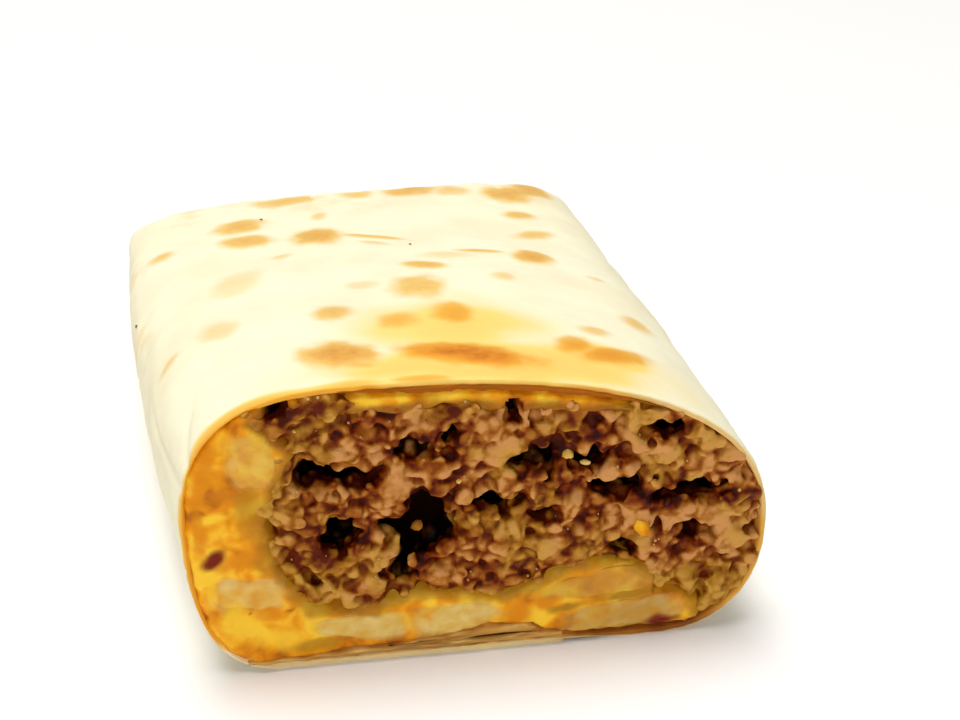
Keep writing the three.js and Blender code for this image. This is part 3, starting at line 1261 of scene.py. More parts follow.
    def wrinkles(self, places: np.ndarray) -> np.ndarray:
        """How far long wrinkles and narrow creases lift or sink the sides and the folded end.

        Args:
            places: Points of the sheet.
        Returns:
            One height per point.
        """
        long = places * np.array([1.0, 0.28, 1.0])
        crease = 1 - smooth_step(0.0, 0.1, np.abs(grain(long, 13.0, self.seed + 15)))
        here = smooth_step(-0.1, 0.3, grain(places, 22.0, self.seed + 16))
        return self.wrinkle_height * grain(long, 5.0, self.seed + 14) - self.crease_depth * crease * here

    def char_flecks(self, sheet: bpy.types.Object) -> bpy.types.Object:
        """Tiny charred flecks that stuck to the sheet on the hot plate.

        Args:
            sheet: The outer sheet.
        Returns:
            The flecks as one piece.
        """
        draw = np.random.default_rng(self.seed)
        places = coordinates(sheet.data)
        upper = places[places[:, 2] > 15]
        near = [np.hypot(upper[:, 0] - x, upper[:, 1] - y).argmin() for x, y in FLECKS]
        sizes = draw.uniform(0.25, 0.45, (len(FLECKS), 3)) * np.array([1.5, 1.0, 0.4])
        flecks = joined_lumps("tortilla_char_flecks", upper[near], sizes, draw, 0.3)
        for name, amount in (("toast", 1.0), ("soak", 0.0), ("brown", 1.0)):
            paint(flecks.data, name, np.full(len(flecks.data.vertices), amount))
        return flecks

    def soak(self, places: np.ndarray, cut: np.ndarray, top: np.ndarray) -> np.ndarray:
        """How far sauce has soaked through, from 0 to 1.

        Args:
            places: Points of the sheet.
            cut: How far each counts as cut or inside.
            top: How far each faces up.
        Returns:
            One number per point.
        """
        away = places[:, 1] - PACKET.cut_y
        cloud = grain(places, 8, self.seed + 8)
        patch = np.max([stain.cover(places, cloud) for stain in STAINS], axis=0)
        above = smooth_step(2.5, 8.0, places[:, 2])
        left = 1 - smooth_step(20, 34, places[:, 0])
        flank = 1 - smooth_step(-30, -20, places[:, 0])
        shoulder = (1 - smooth_step(-14, -4, places[:, 0])) * smooth_step(30, 40, places[:, 2])
        strength = 0.15 + 0.2 * left + 0.5 * np.maximum(flank, shoulder)
        rim = (1 - smooth_step(0.0, 2.6 + 0.8 * shoulder, away + 1.2 * cloud)) * above * strength
        return np.clip(np.maximum(patch * top, rim) + 0.6 * cut * above * (0.25 + 0.75 * left), 0, 1)

    def seam(self, places: np.ndarray, out: np.ndarray) -> np.ndarray:
        """Steps the underside at the free edge of the flap.

        Args:
            places: Points of the sheet.
            out: Their outward directions.
        Returns:
            The moved points.
        """
        edge = np.array([PACKET.flap_edge(y) for y in places[:, 1]])
        past = places[:, 0] - edge + 0.5 * grain(places, 5, self.seed + 9)
        step = smooth_step(0.0, 0.7, past) * (1 - smooth_step(2.0, 12.0, past))
        low = (places[:, 2] < 0.8) & (out[:, 2] < -0.5)
        moved = places.copy()
        moved[:, 2] += np.where(low, self.seam_step * step, 0.0)
        return moved

    def close_end(self, places: np.ndarray) -> np.ndarray:
        """Lays the flap over the folded end, with an arched free edge.

        Args:
            places: Points of the sheet.
        Returns:
            The moved points.
        """
        p = PACKET
        s = p.section(p.fold_y, Margin())
        mid = (s.left + s.right) / 2
        reach = np.abs(places[:, 0] - mid) / ((s.right - s.left) / 2)
        edge_z = self.end_flap_top - self.end_flap_arch * reach**2 + 0.6 * grain(places, 7, self.seed + 12)
        cover = (1 - smooth_step(-0.3, 0.3, places[:, 2] - edge_z)) * smooth_step(2.0, 6.0, places[:, 2])
        cover *= 1 - smooth_step(0.78, 0.9, reach)
        behind = smooth_step(p.fold_y - p.end_flap - 3.0, p.fold_y - p.end_flap - 0.4, places[:, 1])
        moved = places.copy()
        moved[:, 1] += p.end_flap * cover * behind
        return moved

    def base_layer(self) -> bpy.types.Object:
        """The sheet's start, which lies on the flap under the filling and ends in its arched edge.

        Returns:
            The piece.
        """
        p = PACKET
        left = p.cut.base_left - 6
        stations = np.linspace(p.cut_y - 0.15, p.fold_y - 12, 40)
        lean = [p.section(y, Margin()).base_left - p.cut.base_left for y in stations]
        edges = [(left + shift, p.flap_edge(y)) for y, shift in zip(stations, lean)]
        heights = ((0.0, 0.45, 1.0), (p.wall + 0.05,) * 3, (p.wall + 0.5, p.wall + 1.1, p.wall + 1.3))
        return self.ply("tortilla_base_layer", stations, edges, heights, self.seed + 21)

    def torn_ply(self) -> bpy.types.Object:
        """A torn flake of the sheet's start that stands up between the layer and the fries.

        Returns:
            The piece.
        """
        stations = np.linspace(PACKET.cut_y - 0.1, PACKET.cut_y + 9, 8)
        edges = [(-9.0 - 0.3 * n, 15.4 - 0.25 * n) for n in range(len(stations))]
        heights = ((0.0, 0.35, 0.68, 0.9, 1.0), (2.9, 2.95, 3.3, 3.1, 2.9), (3.05, 3.7, 5.0, 4.7, 3.3))
        return self.ply("tortilla_torn_ply", stations, edges, heights, self.seed + 41)

    def ply(
        self,
        name: str,
        stations: Sequence[float],
        edges: Sequence[tuple[float, float]],
        heights: tuple[Sequence[float], Sequence[float], Sequence[float]],
        seed: int,
    ) -> bpy.types.Object:
        """A flaky layer of dough that runs back from the cut.

        Args:
            name: Name of the piece.
            stations: Places along the packet.
            edges: Its left and right edge at each of them.
            heights: Shares of its width, with its underside and its top there.
            seed: Seed of its unevenness.
        Returns:
            The piece.
        """
        count = 60
        share = np.linspace(0, 1, count)
        rings = []
        for y, (left, right) in zip(stations, edges):
            xs = left + (right - left) * share
            flat = np.stack([xs, np.full(count, y), np.zeros(count)], 1)
            low = np.interp(share, heights[0], heights[1]) + 0.1 * grain(flat, 4, seed)
            high = np.interp(share, heights[0], heights[2]) + 0.14 * grain(flat, 2.5, seed + 1)
            middle = (low + high) / 2
            loop = [np.stack([xs, flat[:, 1], z], 1) for z in (low, middle, high)]
            rings.append(np.vstack([loop[0], loop[1][-1:], loop[2][::-1], loop[1][:1]]))
        bm = skin_rings(rings)
        first = (PACKET.cut_y + 1) * MM
        front = [f for f in bm.faces if len(f.verts) > 4 and f.calc_center_median().y < first]
        bmesh.ops.inset_region(bm, faces=front, thickness=0.3 * MM, depth=0.12 * MM)
        piece = smooth_object(name, bm)
        places = coordinates(piece.data)
        near = 1 - smooth_step(0.0, 1.5, places[:, 1] - PACKET.cut_y)
        places[:, 1] -= near * (0.2 + 0.5 * grain(places, 2.0, seed + 2))
        set_coordinates(piece.data, places)
        streak = grain(places * np.array([0.25, 1, 3.0]), 1.0, seed + 3)
        paint(piece.data, "toast", np.clip(0.6 + 0.4 * streak, 0, 1))
        paint(piece.data, "soak", np.full(len(places), 0.2))
        paint(piece.data, "brown", np.clip(0.4 + 0.6 * streak, 0, 0.85))
        return piece

    def parted_ply(self) -> bpy.types.Object:
        """The inner ply that parted from the sheet over the filling, browned and darkened as painted shade.

        Returns:
            The piece.
        """
        p = PACKET
        first, last, count = -15, 33, 90
        xs = np.linspace(first, last, count)
        fade = smooth_step(0, 11, xs - first) * smooth_step(0, 14, last - xs)
        rings = []
        for y in np.linspace(p.cut_y - 0.15, p.cut_y + 8, 9):
            ring = p.section(y, Margin.even(p.lip.top + 0.16 * (y - p.cut_y))).outline(720)
            arc = ring[(ring[:, 1] > 38) & (ring[:, 0] > first - 2) & (ring[:, 0] < last + 2)]
            arc = arc[np.argsort(arc[:, 0])]
            upper = np.stack([xs, np.full(count, y), np.interp(xs, arc[:, 0], arc[:, 1])], 1)
            lower = upper.copy()
            thick = 0.8 + 0.5 * grain(upper, 3.4, self.seed + 31) + 0.35 * grain(upper, 1.3, self.seed + 33)
            lower[:, 2] -= 0.12 + np.maximum(thick, 0.2) * fade
            rings.append(np.vstack([upper, lower[::-1]]))
        piece = smooth_object("tortilla_parted_ply", skin_rings(rings))
        places = coordinates(piece.data)
        paint(piece.data, "toast", np.full(len(places), 0.8))
        paint(piece.data, "soak", np.full(len(places), 0.85))
        # Partly painted shade of the gap under the sheet.
        paint(piece.data, "brown", np.clip(0.75 + 0.35 * grain(places, 3, self.seed + 32), 0, 1))
        return piece


@dataclass(frozen=True)
class FryCut:
    """A fry's cut section in millimetres, its sauce share and its juice share, partly painted shade."""

    node: str
    x: float
    z: float
    width: float
    height: float
    slant: float
    thin: float
    length: float
    sauce: float
    juice: float

    def reach(self, x: np.ndarray, z: np.ndarray) -> np.ndarray:
        """How far places at the cut lie from the fry's middle.

        Args:
            x: Their x.
            z: Their height.
        Returns:
            One number per place, 1 on the fry's outline.
        """
        c, s = math.cos(self.slant), math.sin(self.slant)
        across = ((x - self.x) * c + (z - self.z) * s) / (self.width / 2)
        thinner = (abs(self.thin) - self.thin * np.clip(across, -1, 1)) / 2
        up = ((z - self.z) * c - (x - self.x) * s) / (self.height / 2 * (1 - thinner))
        return (np.abs(across) ** 3 + np.abs(up) ** 3) ** (1 / 3)


FRIES = (
    FryCut("fry_left_upper", -28.1, 40.2, 6.8, 9.4, 0.15, 0.0, 62, 0.6, 0.22),
    FryCut("fry_left_lower", -29.8, 16.0, 11.4, 6.4, -0.12, 0.0, 70, 0.22, 0.05),
    FryCut("fry_base_left", -13.8, 7.4, 15.0, 6.6, -0.1, 0.6, 58, 0.0, 0.1),
    FryCut("fry_base_middle", 1.6, 7.6, 14.0, 8.0, 0.05, -0.5, 74, 0.05, 0.1),
    FryCut("fry_right_upper", 24.6, 11.7, 18.6, 6.0, 0.12, 0.45, 55, 0.8, 0.45),
    FryCut("fry_right_lower", 29.0, 5.2, 19.0, 5.8, 0.05, 0.2, 66, 0.3, 0.4),
)


def inside_polygon(corners: np.ndarray, points: np.ndarray) -> np.ndarray:
    """Whether each point lies inside a closed outline.

    Args:
        corners: Corners of the outline, x and z per row.
        points: Points, x and z per row.
    Returns:
        One truth value per point.
    """
    inside = np.zeros(len(points), bool)
    after = np.roll(corners, -1, axis=0)
    for (ax, az), (bx, bz) in zip(corners, after):
        spans = (az > points[:, 1]) != (bz > points[:, 1])
        with np.errstate(divide="ignore", invalid="ignore"):
            crossing = ax + (points[:, 1] - az) / (bz - az) * (bx - ax)
        inside ^= spans & (points[:, 0] < crossing)
    return inside


def depth_inside(corners: np.ndarray, points: np.ndarray) -> np.ndarray:
    """Distance of each point from a closed outline, positive inside it.

    Args:
        corners: Corners of the outline, x and z per row.
        points: Points, x and z per row.
    Returns:
        One distance per point.
    """
    best = np.full(len(points), np.inf)
    for a, b in zip(corners, np.roll(corners, -1, axis=0)):
        side = b - a
        share = np.clip(((points - a) @ side) / max(side @ side, 1e-9), 0, 1)
        gap = points - a - share[:, None] * side
        best = np.minimum(best, np.hypot(gap[:, 0], gap[:, 1]))
    return np.where(inside_polygon(corners, points), best, -best)


# Lower and left border of the mince at the cut, from the lower right round to the top left.
MINCE_EDGE = (
    (41, 2), (39, 7), (34, 11), (28, 15), (21, 15), (15, 12), (9, 10), (1, 12), (-5, 12), (-10, 10),
    (-21, 10.5), (-25, 17), (-28, 25), (-27, 33), (-23, 41), (-28, 47),
)
# Height of the tortilla's layers under the filling along the cut, as x and z.
BASE_TOP = (
    (-26, 1.6), (-20, 2.0), (-13, 2.9), (-6, 2.9), (0, 3.5), (7, 5.0), (14, 4.3), (16, 3.0), (19, 2.6),
    (21, 1.7),
)


def on_cut(points: np.ndarray) -> np.ndarray:
    """Places at the cut, x and z per row, as points of one plane for noise that ignores depth."""
    return np.stack([points[:, 0], np.zeros(len(points)), points[:, 1]], 1)


@dataclass(frozen=True)
class CutFace:
    """What shows at the knife cut: where mince ends and how far forward the sauce stands."""

    wall: float = 1.6
    yellow_band: float = 2.5
    right_wall: float = 0.7
    wall_back: float = 2.2
    mince_back: float = 2.8
    fry_back: float = 0.9
    seed: int = 71

    def outline(self) -> np.ndarray:
        """The packet's outside at the cut."""
        return PACKET.section(PACKET.cut_y, Margin()).outline(240)

    def mince(self) -> np.ndarray:
        """The outline of the mince at the cut.

        Returns:
            One x and z per row, anticlockwise from the lower right.
        """
        thin = Margin(self.wall, self.right_wall, self.wall, self.right_wall)
        ring = PACKET.section(PACKET.cut_y, thin).outline(400)
        side = ring[(ring[:, 0] > 40) & (ring[:, 1] > 1.2) & (ring[:, 1] < PACKET.cut.right_z)]
        high = ring[(ring[:, 1] >= PACKET.cut.right_z) & (ring[:, 0] > -27)].copy()
        under = smooth_step(-18, -11, high[:, 0]) * (1 - smooth_step(20, 34, high[:, 0]))
        high[:, 1] -= self.yellow_band * under * (high[:, 1] > 35)
        return np.vstack([side, high, np.array(MINCE_EDGE[::-1])])

    def base_top(self, x: np.ndarray) -> np.ndarray:
        """Height of the tortilla's layers under the filling at the cut."""
        return np.interp(x, *np.array(BASE_TOP).T)

    def level(self, points: np.ndarray) -> np.ndarray:
        """How far behind the cut the smeared face lies, before the fries show through it.

        Args:
            points: Places at the cut, x and z per row.
        Returns:
            One distance per place, negative in front of the cut.
        """
        x, z = points.T
        flat = on_cut(points)
        wall = depth_inside(self.outline(), points)
        beef = depth_inside(self.mince(), points) + 1.0 * grain(flat, 2.6, self.seed)
        front = -0.25 + 0.4 * grain(flat, 6.5, self.seed + 1) + 0.3 * grain(flat, 2.4, self.seed + 2)
        front += 0.1 * grain(flat, 1.1, self.seed + 9)
        top = smooth_step(38, 44, z) * smooth_step(-24, -18, x)
        cover = 0.1 + 1.8 * top + 1.2 * smooth_step(34, 40, x) + 0.25 * grain(flat, 3.5, self.seed + 3)
        front += self.wall_back * (1 - smooth_step(cover - 0.4, cover + 0.7, wall))
        over_base = z - self.base_top(x) - 0.3 * grain(flat, 3.0, self.seed + 4)
        front += self.wall_back * (1 - smooth_step(-0.3, 0.6, over_base))
        return front + self.mince_back * smooth_step(0.2, 3.0, beef)

    def reach(self, cut: FryCut, points: np.ndarray) -> np.ndarray:
        """How far places lie from the middle of a fry with an uneven outline.

        Args:
            cut: The fry.
            points: Places at the cut, x and z per row.
        Returns:
            One number per place, 1 on the outline.
        """
        flat = on_cut(points)
        moved = points + 0.8 * np.stack([grain(flat, 4.5, self.seed + 6 + k) for k in range(2)], 1)
        return cut.reach(*moved.T) + 0.06 * grain(flat, 1.2, self.seed + 8)

    def flesh(self, points: np.ndarray) -> np.ndarray:
        """How far potato shows through the smear.

        Args:
            points: Places at the cut, x and z per row.
        Returns:
            One number from 0 to 1 per place.
        """
        flat = on_cut(points)
        ragged = 0.18 * grain(flat, 3.0, self.seed + 11) + 0.08 * grain(flat, 1.0, self.seed + 12)
        shown = np.zeros(len(points))
        for cut in FRIES:
            near = self.reach(cut, points) + ragged
            shown = np.maximum(shown, (1 - cut.sauce) * (1 - smooth_step(0.76, 1.18, near)))
        return shown

    def juice(self, points: np.ndarray) -> np.ndarray:
        """How far the beef's juice thins the smear on the fries, with painted shade under the mince.

        Args:
            points: Places at the cut, x and z per row.
        Returns:
            One number from 0 to 1 per place.
        """
        amount = np.zeros(len(points))
        for cut in FRIES:
            amount = np.maximum(amount, cut.juice * (1 - smooth_step(0.8, 1.3, self.reach(cut, points))))
        return amount

    def sauce(self, points: np.ndarray) -> np.ndarray:
        """How far behind the cut the sauce's front lies, drawn back where a fry stands through it.

        Args:
            points: Places at the cut, x and z per row.
        Returns:
            One distance per place, negative in front of the cut.
        """
        front = self.level(points)
        for cut in FRIES:
            front += self.fry_back * (1 - smooth_step(0.55, 0.95, self.reach(cut, points)))
        return front


FACE = CutFace()


@dataclass(frozen=True)
class Dab:
    """A soft patch on the sauce at the cut, as a turned ellipse in millimetres."""

    patch: Patch
    x: float
    z: float
    across: float
    up: float
    strength: float
    turn: float = 0.0
    RAGGED: ClassVar[float] = 0.35

    def cover(self, points: np.ndarray, uneven: np.ndarray) -> np.ndarray:
        """How strongly the patch shows.

        Args:
            points: Places at the cut, x and z per row.
            uneven: Noise that makes the patch's edge ragged.
        Returns:
            One number from 0 to the patch's strength per place.
        """
        c, s = math.cos(self.turn), math.sin(self.turn)
        dx, dz = points[:, 0] - self.x, points[:, 1] - self.z
        reach = np.hypot((dx * c + dz * s) / self.across, (dz * c - dx * s) / self.up)
        return self.strength * (1 - smooth_step(0.45, 1.25, reach + self.RAGGED * uneven))


DABS = (
    # Bright patches: paler curds, partly painted highlights on the wet sauce.
    Dab(Patch.BRIGHT, -34.5, 30.5, 2.5, 1, 1.0, 0.15),
    Dab(Patch.BRIGHT, -31.5, 10.5, 4.5, 3.5, 0.9, -0.4),
    Dab(Patch.BRIGHT, -25.5, 6.5, 5, 2.5, 0.8, -0.2),
    Dab(Patch.BRIGHT, -35.5, 16.5, 1, 4, 0.7),
    Dab(Patch.BRIGHT, -32.5, 45, 2, 2.5, 0.5, 0.8),
    Dab(Patch.BRIGHT, 9.5, 12, 2.5, 1.5, 0.6),
    Dab(Patch.FAT, -35, 40, 1.5, 8, 0.9, -0.25),
    Dab(Patch.FAT, -36.5, 27.5, 1, 6, 0.8),
    Dab(Patch.FAT, -31, 22.5, 4, 2, 0.9, 0.3),
    Dab(Patch.FAT, -31, 34, 3.5, 2, 0.6, -0.3),
    Dab(Patch.FAT, -27, 11.5, 3, 1.5, 0.7),
    Dab(Patch.FAT, 11.5, 7, 3, 3, 0.9),
    Dab(Patch.FAT, 16.5, 9, 2.5, 1.5, 0.9, 0.3),
    # Thinned patches: olive sauce, partly painted shade beside the mince.
    Dab(Patch.THINNED, -28, 31, 3, 6, 0.6, 0.1),
    Dab(Patch.THINNED, -26.5, 21.5, 2.5, 3, 0.6),
    Dab(Patch.THINNED, -20, 4.5, 4.5, 1.5, 0.7),
    Dab(Patch.THINNED, 19.5, 7.5, 3, 1, 0.9, 0.2),
    Dab(Patch.THINNED, 30, 9, 8, 1, 0.9, 0.1),
    Dab(Patch.THINNED, 28, 2, 9.5, 0.75, 0.8),
    Dab(Patch.PEPPER, -34.5, 23, 2.5, 1.5, 1.0, 0.7),
    Dab(Patch.PEPPER, 35, 3, 3, 1.5, 1.0, 0.1),
    Dab(Patch.PEPPER, -24, 12, 0.75, 0.5, 0.7),
    Dab(Patch.PEPPER, -30, 12, 0.5, 0.5, 0.7),
)


def smear(mesh: bpy.types.Mesh, seed: int) -> None:
    """Stores how far flesh and each kind of patch show at a mesh's vertices.

    Args:
        mesh: The mesh.
        seed: Seed of the patches' ragged edges.
    """
    places = coordinates(mesh)
    flat = places[:, [0, 2]]
    still = on_cut(flat)
    uneven = grain(still, 2.4, seed) + 0.4 * grain(still, 1.0, seed + 1)
    shown = 1 - smooth_step(5.0, 9.0, places[:, 1] - PACKET.cut_y)
    paint(mesh, "flesh", FACE.flesh(flat) * shown)
    for patch in Patch:
        amount = np.zeros(len(places))
        for dab in DABS:
            if dab.patch is patch:
                amount = np.maximum(amount, dab.cover(flat, uneven))
        # Thinned sauce, with painted shade along the mince's border and on the fries under it.
        if patch is Patch.THINNED:
            near = smooth_step(-1.4, 0.4, depth_inside(FACE.mince(), flat) + 0.8 * uneven)
            juice = FACE.juice(flat) + 0.2 * uneven * (amount > 0)
            amount = np.max([amount, 0.75 * near, juice], axis=0)
        if patch is Patch.PEPPER:
            under = smooth_step(-1.0, 0.3, depth_inside(FACE.mince(), flat) + 0.5 * uneven)
            amount = np.maximum(amount, 0.5 * under * smooth_step(38, 43, flat[:, 1]))
        paint(mesh, patch.name.lower(), np.clip(amount, 0, 1))


@dataclass
class Fries:
    """The six fries that the cut goes through."""

    finish: FriedPotato = FriedPotato()
    around: int = 72
    curve: float = 3.0
    seed: int = 23

    def build(self) -> list[bpy.types.Object]:
        """Makes the fries.

        Returns:
            The pieces.
        """
        stuff = self.finish.material()
        pieces = []
        for number, cut in enumerate(FRIES):
            piece = self.fry(cut, self.seed + number)
            piece.data.materials.append(stuff)
            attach(piece, "root")
            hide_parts(cut.node)
            pieces.append(piece)
        return pieces

    def ring(self, cut: FryCut, y: float, shrink: float, along: float) -> np.ndarray:
        """A ring round a fry.

        Args:
            cut: The fry.
            y: Where the ring lies.
            shrink: Size of the ring as a share of the fry's section.
            along: Place along the packet that sets the ring's lean.
        Returns:
            One point per row.
        """
        x, z = PACKET.lean(cut.x, cut.z, along)
        turn = np.linspace(0, 2 * math.pi, self.around, endpoint=False)
        share = np.sign(np.cos(turn)) * np.abs(np.cos(turn)) ** (2 / self.curve) * shrink
        thinner = (abs(cut.thin) - cut.thin * share) / 2
        across = share * cut.width / 2
        high = cut.height / 2 * (1 - thinner) * shrink
        up = np.sign(np.sin(turn)) * np.abs(np.sin(turn)) ** (2 / self.curve) * high
        c, s = math.cos(cut.slant), math.sin(cut.slant)
        return np.stack([x + across * c - up * s, np.full(self.around, y), z + across * s + up * c], 1)

    def fry(self, cut: FryCut, seed: int) -> bpy.types.Object:
        """Makes one fry with an uneven skin and a mealy, slightly domed cut face.

        Args:
            cut: The fry.
            seed: Seed of its unevenness.
        Returns:
            The piece.
        """
        start, end = PACKET.cut_y, PACKET.cut_y + cut.length
        shares = np.linspace(0.02, 1.0, 22)
        rings = [self.ring(cut, start, share, start) for share in shares]
        rings += [self.ring(cut, y, 1.0, y) for y in np.linspace(start + 1.2, end - 2, 30)]
        for y, shrink in ((end - 0.9, 0.93), (end - 0.2, 0.75), (end, 0.4), (end, 0.05)):
            rings.append(self.ring(cut, y, shrink, y))
        piece = smooth_object(cut.node + "_potato", skin_rings(rings))
        mesh = piece.data
        places, out = coordinates(mesh), normals(mesh)
        uneven = 0.25 * grain(places, 4.5, seed) + 0.08 * grain(places, 1.3, seed + 50)
        places = places + out * uneven[:, None]
        face = np.arange(len(places)) < len(shares) * self.around
        face[-2:] = [True, False]
        flat = places[face][:, [0, 2]]
        near = FACE.reach(cut, flat)
        level = np.minimum(FACE.level(flat), 0.8)
        places[face, 1] = start + level + 0.06 - 0.25 * (1 - smooth_step(0.6, 1.0, near))
        set_coordinates(mesh, places)
        smear(mesh, self.seed)
        return piece


def joined_lumps(
    name: str, centres: np.ndarray, radii: np.ndarray, draw: np.random.Generator, uneven: float
) -> bpy.types.Object:
    """Makes many uneven lumps as one mesh.

    Args:
        name: Name of the object.
        centres: Their places in millimetres.
        radii: Their half sizes along three axes, one row per lump.
        draw: Source of chance.
        uneven: How far a lump's surface departs from round, as a share.
    Returns:
        The object.
    """
    bm = bmesh.new()
    bmesh.ops.create_icosphere(bm, subdivisions=2, radius=1.0)
    ball = np.array([v.co[:] for v in bm.verts])
    bm.verts.index_update()
    faces = np.array([[v.index for v in f.verts] for f in bm.faces])
    bm.free()
    all_places, all_faces = [], []
    for number, (centre, radius) in enumerate(zip(centres, radii)):
        turn = np.array(Matrix.Rotation(draw.uniform(0, 6.28), 3, Vector(draw.normal(size=3)).normalized()))
        knobs = draw.normal(size=(7, 3))
        knobs /= np.linalg.norm(knobs, axis=1)[:, None]
        heights = draw.uniform(-1, 1, 7)
        bumps = (np.exp(4.0 * (ball @ knobs.T - 1)) * heights).sum(1)
        shape = (ball * (1 + uneven * bumps[:, None])) * radius
        all_places.append(shape @ turn.T + centre)
        all_faces.append(faces + number * len(ball))
    mesh = bpy.data.meshes.new(name)
    mesh.from_pydata((np.vstack(all_places) * MM).tolist(), [], np.vstack(all_faces).tolist())
    piece = bpy.data.objects.new(name, mesh)
    bpy.context.collection.objects.link(piece)
    return piece


@dataclass(frozen=True)
class Hollow:
    """A dark gap between crumbs at the cut: centre, half width and half height in millimetres."""

    x: float
    z: float
    across: float
    up: float


HOLLOWS = (
    Hollow(-24, 48.5, 1, 1),
    Hollow(-19, 37, 2, 2),
    Hollow(-13, 35.5, 3.5, 1),
    Hollow(-4, 40, 2.5, 1.5),
    Hollow(-2.5, 30, 2, 2),
    Hollow(-15.5, 25, 3, 2.5),
    Hollow(-6.5, 26, 2.5, 1.5),
    Hollow(-3, 21.5, 2.5, 1.5),
    Hollow(-6, 16, 1.5, 2),
    Hollow(0, 25, 1.5, 2),
    Hollow(14, 37, 3, 2),
    Hollow(24, 35.5, 2.5, 1),
    Hollow(27, 29.5, 3, 1.5),
    Hollow(39, 28, 6.5, 1),
    Hollow(8.5, 28.5, 3.5, 1),
    Hollow(15.5, 26, 2, 1),
    Hollow(35, 40, 2, 1.5),
    Hollow(38.5, 20.5, 1, 2),
    Hollow(28.5, 18, 2, 1),
    Hollow(10.5, 45.5, 0.5, 1.5),
    Hollow(1, 42, 0.5, 3),
)


def clear_of_hollows(x: np.ndarray, z: np.ndarray, grown: np.ndarray) -> np.ndarray:
    """Whether places at the cut are clear of the hollows.

    Args:
        x: Their x.
        z: Their height.
        grown: How far the hollows are grown for each.
    Returns:
        One truth value per place.
    """
    clear = np.ones(len(x), bool)
    for h in HOLLOWS:
        clear &= ((x - h.x) / (h.across + grown)) ** 2 + ((z - h.z) / (h.up + grown)) ** 2 > 1
    return clear


@dataclass(frozen=True)
class CrumbLayer:
    """A layer of crumbs at the cut: spacing, sizes, how deep they may lie and how lumpy they are."""

    pitch: float
    small: float
    large: float
    front: float
    back: float
    granules: int = 0
    granule: tuple[float, float] = (0.0, 0.0)
    clear: float = 0.6


CRUMB_LAYERS = (
    CrumbLayer(5.6, 1.8, 3.0, -0.5, 0.8, 12, (0.6, 1.3)),
    CrumbLayer(2.2, 0.8, 1.7, -0.5, 1.3, 4, (0.5, 0.9)),
    CrumbLayer(2.4, 1.4, 2.0, 0.9, 1.9, clear=0.75),
    CrumbLayer(2.8, 2.0, 2.6, 2.2, 3.2, clear=0.8),
    CrumbLayer(3.2, 2.4, 3.0, 4.9, 5.9, clear=0.45),
)


@dataclass(frozen=True)
class Chunk:
    """A crumb that stands out at the cut: place and half size in millimetres, and its shade."""

    x: float
    z: float
    size: float
    shade: float

    def cover(self, places: np.ndarray) -> np.ndarray:
        """How far points belong to the crumb, from 0 to 1."""
        return np.exp(-(((places[:, 0] - self.x) ** 2 + (places[:, 2] - self.z) ** 2) / self.size**2) ** 2)


CHUNKS = (
    Chunk(-27, 46.5, 2, 0.0),
    Chunk(-24, 45.5, 2, 0.1),
    Chunk(-21.5, 48, 2, 0.0),
    Chunk(-18, 49, 2, 0.0),
    Chunk(-14.5, 49, 1.5, 0.0),
    Chunk(8, 38.5, 2.5, 1.0),
    Chunk(10.5, 39.5, 2, 0.95),
    Chunk(6.5, 43, 2.5, 0.6),
    Chunk(-7, 36.5, 2, 0.95),
    Chunk(-17.5, 40.5, 2, 0.9),
    Chunk(17, 20, 2.5, 0.8),
    Chunk(21.5, 18, 2, 0.55),
    Chunk(31, 19, 2, 0.95),
    Chunk(36.5, 24.5, 2.5, 0.85),
    Chunk(42.5, 23.5, 2.5, 0.7),
    Chunk(30, 24.5, 2, 0.8),
    Chunk(34.5, 36.5, 2, 0.8),
    Chunk(40, 33.5, 2, 0.75),
)


